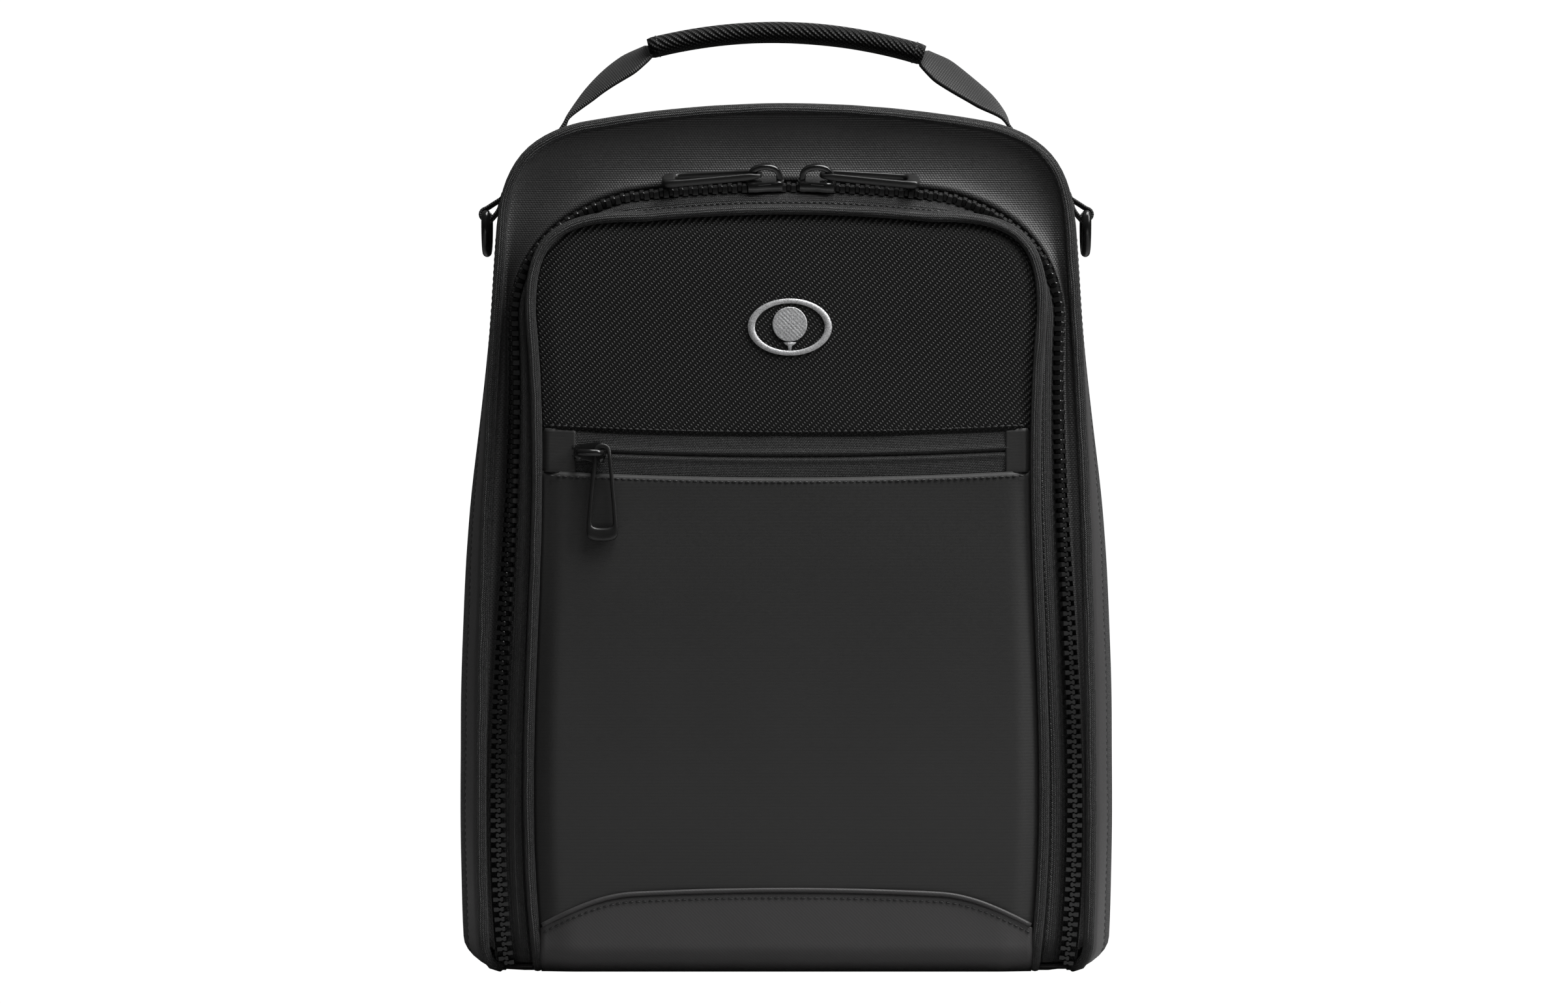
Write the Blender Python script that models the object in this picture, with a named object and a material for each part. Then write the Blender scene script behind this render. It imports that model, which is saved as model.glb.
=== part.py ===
# Golf shoe bag: an upright case with a zipped front door that folds down, a webbing carry handle,
# a small zipped pocket on the door and a hanging ring on each side.
# Metres, +Z up, the front faces -Y, and the origin is the centre of the base's underside.

import math

import bmesh
import bpy
from mathutils import Matrix, Vector

# ---- driving sizes -------------------------------------------------------------------------
GAP = 0.0003  # left between pieces that touch
HEIGHT = 0.3719
CROWN = 0.0031
FRONT_Y = -0.0752  # front and back of the case at floor height
BACK_Y = 0.0798
FRONT_LEAN = 0.054  # the frame leans back by this much for each metre of height
DOOR_LEAN = 0.025
FRONT_ROUND = 0.016  # radius of the front bottom edge
SHOULDER_Z = 0.316
TOP_ARC_RADIUS = 0.48
TOP_ARC_HALF = 0.088  # the top is one arc as far as this from the middle
BASE_HALF = 0.1205  # flat part of the base, from the middle
BASE_CORNER = 0.012
PANEL = 0.0025  # padded cloth
BACK_PANEL = 0.004
LINING = 0.0008
PIPING_RADIUS = 0.0022
PIPING_INSET = 0.0016
PANEL_INSET = 0.0041  # the flat panels start this far in from the outer edge
STRIP_SHARE = 0.16  # share of the depth taken by the smooth strip behind the front piping

HINGE_Z = 0.011  # the door folds about this height
DOOR_Z = 0.0115
CHAIN_LOW_Z = 0.0045
CORNER_Z = 0.280  # the zip's side runs end here and its corners begin
CHAIN_TOP_Z = 0.3364
CHAIN_ARC_RADIUS = 0.54
CHAIN_ARC_HALF = 0.068
CHAIN_HALF_THICK = 0.0015
CHAIN_ROW = 0.0034
ROW_GAP = 0.0002
TAPE_FRONT = 0.0021  # the zip tapes lie this far behind the middle of the teeth
TAPE = 0.0008
SHELF = 0.005  # how far the chain stands forward of the frame at the top
SHELF_TILT = math.radians(53)
LOW_TILT = math.radians(4)

DOOR_FRONT = 0.0782  # the door's face, at floor height
DOOR_PANEL = 0.0035
DOOR_PIPING_RADIUS = 0.0017
DOOR_TOP_Z = 0.3265
DOOR_ARC_RADIUS = 0.60
DOOR_ARC_HALF = 0.062
BACKING_BEHIND = 0.0036  # from the leaning front plane to the door's foam board
BACKING = 0.003

POCKET_Z = 0.2206  # middle of the pocket zip, at the middle of the door
POCKET_RADIUS = 1.84  # the zip sags in a shallow arc of this radius
POCKET_HALF_HIGH = 0.0088
POCKET_LEFT = -0.0905
POCKET_RIGHT = 0.094

SLIDER_LENGTH = 0.016
SLIDER_HALF_WIDE = 0.0055
MAIN_PULL_LENGTH = 0.042
POCKET_PULL_LENGTH = 0.0405
PULL_HALF_THICK = 0.0015
LEFT_SLIDER_X = -0.009
RIGHT_SLIDER_X = 0.013
POCKET_SLIDER_X = -0.0837

HANDLE_Y = 0.010
HANDLE_AXIS_Z = 0.3705
HANDLE_TOP_Z = 0.408
HANDLE_FOOT_X = 0.0995
GRIP_HALF = 0.0605
GRIP_DROP = 0.0085
HANDLE_TILT = 0.024  # the right end sits lower

RING_X = 0.1316
RING_Z = 0.3275
RING_Y = 0.008
RING_ROD = 0.002
RING_HALF = 0.013
RING_FALL = 0.006
TAB_HALF = 0.0085

SIDE_HEIGHTS = (0.03, 0.06, 0.10, 0.14, 0.18, 0.22, 0.25, CORNER_Z)
CORNER_STEPS = 7
TOP_STEPS = 4


# ---- small tools ---------------------------------------------------------------------------
def clear_scene():
    for obj in list(bpy.data.objects):
        bpy.data.objects.remove(obj)


def ease(low, high, value):
    """0 below low, 1 above high, and smooth between them."""
    share = min(1.0, max(0.0, (value - low) / (high - low)))
    return share * share * (3 - 2 * share)


def cubic(t, a, b, c, d):
    """A cubic Bezier of numbers or vectors."""
    s = 1 - t
    return a * s**3 + b * 3 * s * s * t + c * 3 * s * t * t + d * t**3


def inset(points, distance):
    """The (x, z) points of a right-hand half outline, moved towards the inside."""
    moved = []
    for i, point in enumerate(points):
        before = points[max(i - 1, 0)]
        after = points[min(i + 1, len(points) - 1)]
        along = (after - before).normalized()
        if i == len(points) - 1 and abs(point.x) < 1e-6:
            along = Vector((-1, 0))
        moved.append(point + distance * Vector((-along.y, along.x)))
    return moved


def both_sides(half):
    """A right-hand half, bottom to top, carried on down the left side."""
    return half + [Vector((-p.x, p.y)) for p in reversed(half[:-1])]


# ---- materials -----------------------------------------------------------------------------
def material(name, colour, roughness, metallic=0.0):
    made = bpy.data.materials.new(name)
    made.use_nodes = True
    shader = made.node_tree.nodes["Principled BSDF"]
    shader.inputs["Base Color"].default_value = (*colour, 1)
    shader.inputs["Roughness"].default_value = roughness
    shader.inputs["Metallic"].default_value = metallic
    return made


def make_materials():
    return {
        "coated": material("coated_cloth", (0.030, 0.029, 0.029), 0.5),
        "twill": material("twill_cloth", (0.022, 0.022, 0.021), 0.4),
        "mesh": material("side_mesh", (0.025, 0.024, 0.025), 0.8),
        "binding": material("woven_piping", (0.016, 0.016, 0.016), 0.7),
        "tape": material("zip_tape", (0.016, 0.016, 0.016), 0.75),
        "teeth": material("moulded_teeth", (0.020, 0.020, 0.020), 0.35),
        "metal": material("black_lacquer", (0.012, 0.012, 0.012), 0.25, 0.6),
        "rubber": material("soft_pull", (0.018, 0.018, 0.017), 0.35),
        "webbing": material("webbing", (0.020, 0.019, 0.019), 0.7),
        "lining": material("lining_cloth", (0.035, 0.035, 0.036), 0.7),
        "board": material("stiffener_board", (0.05, 0.05, 0.05), 0.6),
        "plastic": material("moulded_plastic", (0.015, 0.015, 0.015), 0.4),
        "silver": material("silver_print", (0.35, 0.35, 0.36), 0.4, 0.5),
    }


# ---- solids --------------------------------------------------------------------------------
def new_object(name, vertices, faces, finish, pivot=None):
    """A closed mesh in world coordinates, parented to its joint's empty if it moves."""
    mesh = bpy.data.meshes.new(name)
    mesh.from_pydata([tuple(v) for v in vertices], [], faces)
    shape = bmesh.new()
    shape.from_mesh(mesh)
    bmesh.ops.recalc_face_normals(shape, faces=shape.faces)
    shape.to_mesh(mesh)
    shape.free()
    mesh.shade_smooth()
    mesh.set_sharp_from_angle(angle=math.radians(35))
    mesh.materials.append(finish)
    obj = bpy.data.objects.new(name, mesh)
    bpy.context.scene.collection.objects.link(obj)
    if pivot is not None:
        obj.parent = pivot
        obj.matrix_parent_inverse = pivot.matrix_world.inverted()
    return obj


def pivot_at(name, place, parent=None):
    """An empty on a joint's axis."""
    empty = bpy.data.objects.new(name, None)
    bpy.context.scene.collection.objects.link(empty)
    empty.location = place
    empty.empty_display_size = 0.01
    bpy.context.view_layer.update()
    if parent is not None:
        empty.parent = parent
        empty.matrix_parent_inverse = parent.matrix_world.inverted()
        bpy.context.view_layer.update()
    return empty


def sweep(name, rings, finish, pivot=None, closed=False):
    """A solid through equal rings of points, capped at both ends unless it closes on itself."""
    count = len(rings[0])
    vertices = [point for ring in rings for point in ring]
    faces = []
    spans = len(rings) if closed else len(rings) - 1
    for i in range(spans):
        here, there = i * count, (i + 1) % len(rings) * count
        for j in range(count):
            k = (j + 1) % count
            faces.append((here + j, here + k, there + k, there + j))
    if not closed:
        faces.append(tuple(range(count)))
        faces.append(tuple((len(rings) - 1) * count + j for j in range(count)))
    return new_object(name, vertices, faces, finish, pivot)


def slab(name, outer, inner, finish, pivot=None):
    """A solid between two grids of points with the same rows and columns."""
    rows, columns = len(outer), len(outer[0])
    vertices = [p for row in outer for p in row] + [p for row in inner for p in row]
    back = rows * columns

    def at(i, j, side=0):
        return side * back + i * columns + j

    faces = []
    for i in range(rows - 1):
        for j in range(columns - 1):
            for side in (0, 1):
                faces.append((at(i, j, side), at(i + 1, j, side), at(i + 1, j + 1, side), at(i, j + 1, side)))
    for i in range(rows - 1):
        for j in (0, columns - 1):
            faces.append((at(i, j), at(i + 1, j), at(i + 1, j, 1), at(i, j, 1)))
    for j in range(columns - 1):
        for i in (0, rows - 1):
            faces.append((at(i, j), at(i, j + 1), at(i, j + 1, 1), at(i, j, 1)))
    return new_object(name, vertices, faces, finish, pivot)


def plate(name, outline, front, back, finish, pivot=None):
    """A flat panel: an (x, z) outline between two planes, each a function of z."""
    rings = [[(p.x, plane(p.y), p.y) for p in outline] for plane in (front, back)]
    return sweep(name, rings, finish, pivot)


def tube(name, centres, radius, finish, pivot=None, sides=8, closed=False):
    """A round cord along a row of points."""
    rings = []
    for i, centre in enumerate(centres):
        before = centres[i - 1] if closed else centres[max(i - 1, 0)]
        after = centres[(i + 1) % len(centres)] if closed else centres[min(i + 1, len(centres) - 1)]
        along = (after - before).normalized()
        across = along.cross(Vector((0, 1, 0)))
        if across.length < 0.2:
            across = along.cross(Vector((1, 0, 0)))
        across.normalize()
        over = along.cross(across)
        turns = [2 * math.pi * (k + 0.5) / sides for k in range(sides)]
        rings.append([centre + radius * (math.cos(a) * across + math.sin(a) * over) for a in turns])
    return sweep(name, rings, finish, pivot, closed)


# ---- the shape of the bag ------------------------------------------------------------------
def lean_y(z):
    """The leaning plane of the front frame. It is upright above the top run of the zip."""
    return FRONT_Y + FRONT_LEAN * min(z, 0.332)


def front_y(z):
    """The same plane, with the round bottom edge."""
    below = max(0.0, FRONT_ROUND - z)
    return lean_y(z) + FRONT_ROUND - math.sqrt(FRONT_ROUND**2 - below**2)


def door_y(z):
    return -DOOR_FRONT + DOOR_LEAN * z


def edge_half_width(z):
    """Half the width at the front and back edges."""
    if z > 0.07:
        return 0.132 - 0.0085 * ((z - 0.07) / 0.25) ** 2
    return 0.132 - 0.002 * ((0.07 - z) / 0.07) ** 2


def half_width(z, depth):
    """Half the width at a share of the depth: the sides belly out halfway back."""
    belly = 0.010 * (1 - 0.75 * ease(0.15, 0.30, z))
    return edge_half_width(z) + belly * math.sin(math.pi * depth) ** 0.7


def half_outline(depth):
    """The right-hand half of the skin at a share of the depth, from the base to the top."""
    foot = half_width(BASE_CORNER, depth)
    points = []
    for k in range(5):
        turn = math.pi / 2 * k / 4
        x = BASE_HALF + (foot - BASE_HALF) * math.sin(turn)
        points.append(Vector((x, BASE_CORNER * (1 - math.cos(turn)))))
    for z in (*SIDE_HEIGHTS[:-1], 0.285, SHOULDER_Z):
        points.append(Vector((half_width(z, depth), z)))
    top = HEIGHT + CROWN * math.sin(math.pi * depth)
    shoulder = points[-1]
    arc_end = Vector((TOP_ARC_HALF, top - TOP_ARC_HALF**2 / 2 / TOP_ARC_RADIUS))
    above = shoulder + Vector((-0.001, 0.029))
    before = arc_end + Vector((0.024, -0.0055))
    for k in range(1, CORNER_STEPS + 1):
        points.append(cubic(k / CORNER_STEPS, shoulder, above, before, arc_end))
    for k in range(1, TOP_STEPS + 1):
        x = TOP_ARC_HALF * (1 - k / TOP_STEPS)
        points.append(Vector((x, top - x * x / 2 / TOP_ARC_RADIUS)))
    return points


STRIP_START = 5  # index of the first point above the base corner
SHOULDER = STRIP_START + len(SIDE_HEIGHTS)


def skin_row(depth, distance, first, last, sides):
    """Points of the skin, inset by a distance, at a share of the depth."""
    half = inset(half_outline(depth), distance)[first:last]
    flat = both_sides(half) if sides == 0 else [Vector((sides * p.x, p.y)) for p in half]
    front_edge = PIPING_RADIUS + 0.0005 + GAP
    rear = BACK_Y - 0.003
    row = []
    for p in flat:
        front = front_y(p.y) + front_edge
        row.append((p.x, front + (rear - front) * depth, p.y))
    return row


def skin_panel(name, depths, first, last, sides, finish):
    outer = [skin_row(d, 0, first, last, sides) for d in depths]
    inner = [skin_row(d, PANEL, first, last, sides) for d in depths]
    return slab(name, outer, inner, finish)


def build_case(finishes):
    """The fixed panels: two sides, top, back, base and the arch over the door."""
    for side, word in ((-1, "left"), (1, "right")):
        front_part = (0.0, STRIP_SHARE / 2, STRIP_SHARE)
        rear_part = (STRIP_SHARE + 0.003, 0.35, 0.5, 0.65, 0.85, 1.0)
        skin_panel(f"side_strip_{word}", front_part, 0, SHOULDER + 1, side, finishes["coated"])
        skin_panel(f"side_mesh_{word}", rear_part, 0, SHOULDER + 1, side, finishes["mesh"])
    skin_top(finishes["coated"])
    build_base(finishes)
    outline = both_sides(inset(half_outline(1.0), PANEL_INSET)[2:])
    plate("back_panel", outline, lambda z: BACK_Y - BACK_PANEL, lambda z: BACK_Y, finishes["coated"])
    build_arch_panel(finishes["coated"])
    build_lining(finishes["lining"])


def skin_top(finish):
    """The top gusset. Its ends stop just above the side panels."""
    depths = (0.0, 0.25, 0.5, 0.75, 1.0)

    def rows(distance):
        made = []
        for depth in depths:
            row = skin_row(depth, distance, SHOULDER, None, 0)
            for end, inner in ((0, 1), (-1, -2)):
                away = Vector(row[inner]) - Vector(row[end])
                row[end] = tuple(Vector(row[end]) + away.normalized() * GAP)
            made.append(row)
        return made

    return slab("top_gusset", rows(0), rows(PANEL), finish)


def build_base(finishes):
    front_edge = front_y(0.0)
    corners = [(-BASE_HALF, front_edge), (BASE_HALF, front_edge), (BASE_HALF, BACK_Y), (-BASE_HALF, BACK_Y)]
    inward = 0.0014
    rings = [[(x - math.copysign(inward, x), y, z) for x, y in corners] for z in (0.0, 0.003)]
    base = sweep("base_panel", rings, finishes["coated"])
    lip_half, lip_top, lip_thick = 0.1035, 0.0100, 0.0025
    heights = [lip_top * k / 6 for k in range(7)]
    rows = []
    for behind in (0.0, lip_thick):
        grid = []
        for x in (-lip_half, lip_half):
            grid.append([(x, front_y(z) + behind, z if z else 0.0) for z in heights])
        rows.append(grid)
    lip = slab("front_lip", rows[0], rows[1], finishes["coated"])
    join = base.modifiers.new("lip", "BOOLEAN")
    join.operation = "UNION"
    join.object = lip
    lip.hide_render = True
    lip.display_type = "WIRE"
    board = [(-0.117, -0.054), (0.117, -0.054), (0.117, 0.072), (-0.117, 0.072)]
    low = 0.003 + GAP
    sweep("base_board", [[(x, y, z) for x, y in board] for z in (low, low + 0.0022)], finishes["board"])


def build_lining(finish):
    """A thin cup of cloth inside the case, open at the front."""
    floor = 0.0061
    depths = (0.0, 0.25, 0.5, 0.75, 1.0)

    def loops(distance, bottom, rear):
        made = []
        for depth in depths:
            half = inset(half_outline(depth), distance)[2:]
            half = [Vector((p.x, max(p.y, bottom))) for p in half]
            loop = []
            for p in both_sides(half):
                front = front_y(p.y) + 0.0078
                loop.append((p.x, front + (rear - front) * depth, p.y))
            made.append(loop)
        return made

    outside = loops(0.0032, floor, BACK_Y - BACK_PANEL - 0.0008)
    inside = loops(0.0032 + LINING, floor + LINING, BACK_Y - BACK_PANEL - 0.0008 - LINING)
    sweep("lining", list(reversed(outside)) + inside, finish)


def build_arch_panel(finish):
    """The panel over the door, from the outer piping to the zip, tapering out down each side."""
    outer_half = inset(half_outline(0.0), PANEL_INSET)[SHOULDER - 1 :]
    inner_half = [p for p in inset(chain_half(), -0.003) if p.y > 0.2795]
    outer = both_sides(resample(outer_half, 15))
    inner = both_sides(resample(inner_half, 15))
    middle = [(a + b) / 2 for a, b in zip(outer, inner)]
    curves = (outer, middle, inner)
    grids = []
    for behind in (0.0, 0.0022):
        grids.append([[(p.x, lean_y(p.y) + behind, p.y) for p in curve] for curve in curves])
    slab("arch_panel", grids[0], grids[1], finish)


def resample(points, count):
    """The same line with equal steps."""
    lengths = [0.0]
    for a, b in zip(points, points[1:]):
        lengths.append(lengths[-1] + (b - a).length)
    made = []
    for k in range(count):
        wanted = lengths[-1] * k / (count - 1)
        i = max(j for j in range(len(lengths) - 1) if lengths[j] <= wanted + 1e-12)
        share = (wanted - lengths[i]) / (lengths[i + 1] - lengths[i])
        made.append(points[i].lerp(points[i + 1], share))
    return made


# ---- the zip's line ------------------------------------------------------------------------
def chain_half():
    """The right-hand half of the line between the two rows of teeth, bottom to top."""
    points = []
    for z in (CHAIN_LOW_Z, DOOR_Z, *SIDE_HEIGHTS):
        points.append(Vector((cubic((z - 0.006) / 0.274, 0.1195, 0.1298, 0.1132, 0.1172), z)))
    centre_z = CHAIN_TOP_Z - CHAIN_ARC_RADIUS
    arc_z = centre_z + math.sqrt(CHAIN_ARC_RADIUS**2 - CHAIN_ARC_HALF**2)
    start, end = points[-1], Vector((CHAIN_ARC_HALF, arc_z))
    above, before = start + Vector((0.0, 0.023)), end + Vector((0.032, -0.0072))
    for k in range(1, CORNER_STEPS + 1):
        points.append(cubic(k / CORNER_STEPS, start, above, before, end))
    for k in range(1, TOP_STEPS + 1):
        x = CHAIN_ARC_HALF * (1 - k / TOP_STEPS)
        points.append(Vector((x, centre_z + math.sqrt(CHAIN_ARC_RADIUS**2 - x * x))))
    return points


def door_half():
    """The right-hand half of the line of the door's piping, bottom to top."""
    points = []
    for z in (DOOR_Z, *SIDE_HEIGHTS):
        points.append(Vector((cubic((z - 0.010) / 0.270, 0.1065, 0.11685, 0.1002, 0.1092), z)))
    end = Vector((DOOR_ARC_HALF, DOOR_TOP_Z - DOOR_ARC_HALF**2 / 2 / DOOR_ARC_RADIUS))
    start = points[-1]
    above, before = start + Vector((0.0011, 0.032)), end + Vector((0.039, 0.001))
    for k in range(1, CORNER_STEPS + 1):
        points.append(cubic(k / CORNER_STEPS, start, above, before, end))
    for k in range(1, TOP_STEPS + 1):
        x = DOOR_ARC_HALF * (1 - k / TOP_STEPS)
        points.append(Vector((x, DOOR_TOP_Z - x * x / 2 / DOOR_ARC_RADIUS)))
    return points


def rise(z):
    """0 low down the sides, 1 along the top: how far the zip has turned to face outwards."""
    return ease(0.03, 0.30, z)


def chain_point(p):
    return Vector((p.x, front_y(p.y) - SHELF * rise(p.y), p.y))


def tilt_at(z):
    return LOW_TILT + SHELF_TILT * rise(z)


def chain_frames(start=0):
    """For each point of the zip: its place, the way across the tapes outwards, and the way off the tapes."""
    half = chain_half()[start:]
    line = both_sides(half)
    frames = []
    for i, p in enumerate(line):
        along = (line[min(i + 1, len(line) - 1)] - line[max(i - 1, 0)]).normalized()
        out = Vector((along.y, 0, -along.x))
        tilt = tilt_at(p.y)
        across = out * math.cos(tilt) + Vector((0, 1, 0)) * math.sin(tilt)
        off = out * math.sin(tilt) - Vector((0, 1, 0)) * math.cos(tilt)
        frames.append((chain_point(p), across, off))
    return frames


def door_line_point(p):
    forward = SHELF * rise(p.y) + 0.0008 + 0.0054 * rise(p.y)
    return Vector((p.x, front_y(p.y) - forward, p.y))


def strip_on_chain(name, start, near, far, low, high, finish, pivot=None):
    """A band beside the zip's line. near and far are distances across, as functions of height."""
    rings = []
    for place, across, off in chain_frames(start):
        a, b = near(place.z), far(place.z)
        rings.append([place + across * w + off * m for w, m in ((a, low), (b, low), (b, high), (a, high))])
    return sweep(name, rings, finish, pivot)


def build_frame_trim(finishes):
    """Piping on both edges of the case, and the frame's half of the zip."""
    line = both_sides(inset(half_outline(0.0), PIPING_INSET)[3:])
    front = [Vector((p.x, front_y(p.y) + 0.0005, p.y)) for p in line]
    tube("front_piping", front, PIPING_RADIUS, finishes["binding"])
    line = both_sides(inset(half_outline(1.0), PIPING_INSET)[3:])
    rear = [Vector((p.x, BACK_Y - 0.0005, p.y)) for p in line]
    tube("rear_piping", rear, PIPING_RADIUS, finishes["binding"])
    half_thick = CHAIN_HALF_THICK
    strip_on_chain(
        "frame_teeth", 0, lambda z: ROW_GAP, lambda z: CHAIN_ROW, -half_thick, half_thick, finishes["teeth"]
    )
    reach = lambda z: 0.0046 + 0.0020 * rise(z)
    strip_on_chain("frame_tape", 0, lambda z: 0.0005, reach, -TAPE_FRONT - TAPE, -TAPE_FRONT, finishes["tape"])


# ---- the door ------------------------------------------------------------------------------
def pocket_line(x, offset=0.0):
    """The height of the pocket zip's shallow arc, or of a line beside it."""
    return POCKET_Z + offset + x * x / 2 / POCKET_RADIUS


def half_below(points, offset):
    """The part of a half outline under the pocket zip, ending on a line beside its arc."""
    kept = [p for p in points if p.y < pocket_line(p.x, offset) - 0.004]
    x = kept[-1].x
    return kept + [Vector((x, pocket_line(x, offset)))]


def half_above(points, offset):
    kept = [p for p in points if p.y > pocket_line(p.x, offset) + 0.004]
    x = kept[0].x
    return [Vector((x, pocket_line(x, offset)))] + kept


def pocket_edge(x_from, x_to, offset, steps=6):
    """Points along a line beside the pocket zip."""
    xs = [x_from + (x_to - x_from) * k / steps for k in range(steps + 1)]
    return [Vector((x, pocket_line(x, offset))) for x in xs]


def build_door(finishes, hinge):
    edge = inset(door_half(), DOOR_PIPING_RADIUS + 0.0009)
    face = door_y
    behind = lambda z: door_y(z) + DOOR_PANEL
    upper = both_sides(half_above(edge, POCKET_HALF_HIGH))
    lower_line = pocket_edge(upper[-1].x, upper[0].x, POCKET_HALF_HIGH)[1:-1]
    plate("door_upper_panel", upper + lower_line, face, behind, finishes["twill"], hinge)
    right = half_below(edge, -POCKET_HALF_HIGH)
    top_line = pocket_edge(right[-1].x, -right[-1].x, -POCKET_HALF_HIGH)[1:-1]
    left = [Vector((-p.x, p.y)) for p in reversed(right)]
    plate("door_lower_panel", right + top_line + left, face, behind, finishes["coated"], hinge)
    board_front = lambda z: lean_y(z) + BACKING_BEHIND
    board_back = lambda z: lean_y(z) + BACKING_BEHIND + BACKING
    plate("door_backing", both_sides(door_half()), board_front, board_back, finishes["lining"], hinge)
    build_door_wall(edge, finishes["coated"], hinge)
    tube("door_piping", [door_line_point(p) for p in both_sides(door_half())], DOOR_PIPING_RADIUS,
         finishes["binding"], hinge)
    strip_on_chain("door_teeth", 1, lambda z: -CHAIN_ROW, lambda z: -ROW_GAP, -CHAIN_HALF_THICK,
                   CHAIN_HALF_THICK, finishes["teeth"], hinge)
    build_door_tape(finishes["tape"], hinge)
    build_toe(finishes, hinge)
    build_pocket(finishes, hinge)
    build_emblem(finishes["silver"], hinge)


def build_door_wall(edge, finish, hinge):
    """The short wall from the door's face back to its foam board."""
    thick = 0.0015
    outer, inner = both_sides(inset(edge, 0.0021)), both_sides(inset(edge, 0.0021 + thick))
    rings = []
    for a, b in zip(outer, inner):
        ring = []
        for p, high in ((a, 0), (a, 1), (b, 1), (b, 0)):
            front = door_y(p.y) + DOOR_PANEL + GAP
            back = lean_y(p.y) + BACKING_BEHIND - GAP
            ring.append((p.x, back if high else front, p.y))
        rings.append(ring)
    sweep("door_wall", rings, finish, hinge)


def nearest_on(line, place):
    """The point of an (x, z) line nearest to a place."""
    best = None
    for a, b in zip(line, line[1:]):
        along = b - a
        share = min(1.0, max(0.0, (place - a).dot(along) / along.dot(along)))
        q = a + along * share
        if best is None or (q - place).length < (best - place).length:
            best = q
    return best


def build_door_tape(finish, hinge):
    """The door's half of the zip tape, from under its teeth, round them and to behind the piping."""
    line = both_sides(door_half())
    rings = []
    for (place, across, off), edge in zip(chain_frames(1), line):
        if place.z > CORNER_Z + 0.001:
            edge = nearest_on(line, Vector((place.x, place.z)))
        start = place - across * 0.0005 - off * TAPE_FRONT
        bend = start - across * 0.0034
        end = door_line_point(edge) + Vector((0, DOOR_PIPING_RADIUS + 2 * GAP, 0))
        down = (end - bend).normalized().cross(across.cross(off)).normalized()
        if down.dot(-across - off) < 0:
            down = -down
        under = (down - off).normalized() * TAPE
        rings.append([start, bend, end, end + down * TAPE, bend + under, start - off * TAPE])
    sweep("door_tape", rings, finish, hinge)


def toe_half():
    """The right-hand half of the toe cap's curved top edge, from the side to the middle."""
    start, end = Vector((0.1035, 0.0205)), Vector((0.066, 0.0335))
    points = [cubic(k / 5, start, start + Vector((-0.011, 0.006)), end + Vector((0.014, -0.001)), end) for k in range(6)]
    for k in range(1, 4):
        x = 0.066 * (1 - k / 3)
        points.append(Vector((x, 0.0335 + 0.0017 * (1 - (x / 0.066) ** 2))))
    return points


def build_toe(finishes, hinge):
    """A curved cap over the foot of the door, with a corded upper edge."""
    line = both_sides(toe_half())
    feet = [Vector((-0.1035, DOOR_Z + GAP)), Vector((0.1035, DOOR_Z + GAP))]
    front = lambda z: door_y(z) - 0.0013
    back = lambda z: door_y(z) - GAP
    plate("toe_cap", line + feet, front, back, finishes["coated"], hinge)
    radius = 0.0009
    above = [Vector((p.x, p.y + radius + 0.0004)) for p in line]
    cord = [Vector((p.x, door_y(p.y) - radius - GAP, p.y)) for p in above]
    tube("toe_cord", cord, radius, finishes["coated"], hinge, sides=6)


def build_pocket(finishes, hinge):
    """Reverse-coil zip of the door pocket: two tapes, end tabs, the coil behind and a flat bag."""
    recess = 0.0006
    seam = 0.0004
    edge = POCKET_HALF_HIGH - GAP

    def band(name, x_from, x_to, low, high, front, thick, finish):
        bottom, top = pocket_edge(x_from, x_to, low), pocket_edge(x_from, x_to, high)
        grids = []
        for depth in (front, front + thick):
            grids.append([[(p.x, door_y(p.y) + depth, p.y) for p in row] for row in (bottom, top)])
        slab(name, grids[0], grids[1], finish, hinge)

    band("pocket_tape_upper", POCKET_LEFT, POCKET_RIGHT, seam, edge, recess, TAPE, finishes["tape"])
    band("pocket_tape_lower", POCKET_LEFT, POCKET_RIGHT, -edge, -seam, recess, TAPE, finishes["tape"])
    reach = 0.1040
    band("pocket_tab_left", -reach, POCKET_LEFT - GAP, -edge, edge, recess, TAPE, finishes["coated"])
    band("pocket_tab_right", POCKET_RIGHT + GAP, reach, -edge, edge, recess, TAPE, finishes["coated"])
    coil_front = recess + TAPE + GAP
    band("pocket_coil", POCKET_LEFT, POCKET_RIGHT, -0.0025, 0.0025, coil_front, 0.0013, finishes["teeth"])
    corners = [(-0.098, 0.05), (0.098, 0.05), (0.098, 0.229), (-0.098, 0.229)]
    bag = [[(x, door_y(z) + depth, z) for x, z in corners] for depth in (0.0042, 0.0052)]
    sweep("pocket_bag", bag, finishes["lining"], hinge)


def build_emblem(finish, hinge):
    """A plain printed oval in place of a badge."""
    centre = Vector((0.0015, 0.276))
    turns = [2 * math.pi * k / 28 for k in range(28)]
    outline = [centre + Vector((0.018 * math.cos(a), 0.0125 * math.sin(a))) for a in turns]
    plate("emblem", outline, lambda z: door_y(z) - 0.0007, lambda z: door_y(z) - GAP, finish, hinge)


# ---- sliders and pulls ---------------------------------------------------------------------
def local_frame(place, along, across, off):
    """A matrix whose axes run along the zip, across it and off its face."""
    rotation = Matrix((along, across, off)).transposed().to_4x4()
    return Matrix.Translation(place) @ rotation


def extruded(name, outline, low, high, matrix, plane, finish, pivot=None):
    """An outline in two of a frame's axes, extruded along the third."""
    rings = []
    for level in (low, high):
        ring = []
        for a, b in outline:
            point = {"across_off": (level, a, b), "along_off": (a, level, b), "along_across": (a, b, level)}[plane]
            ring.append(matrix @ Vector(point))
        rings.append(ring)
    return sweep(name, rings, finish, pivot)


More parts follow.
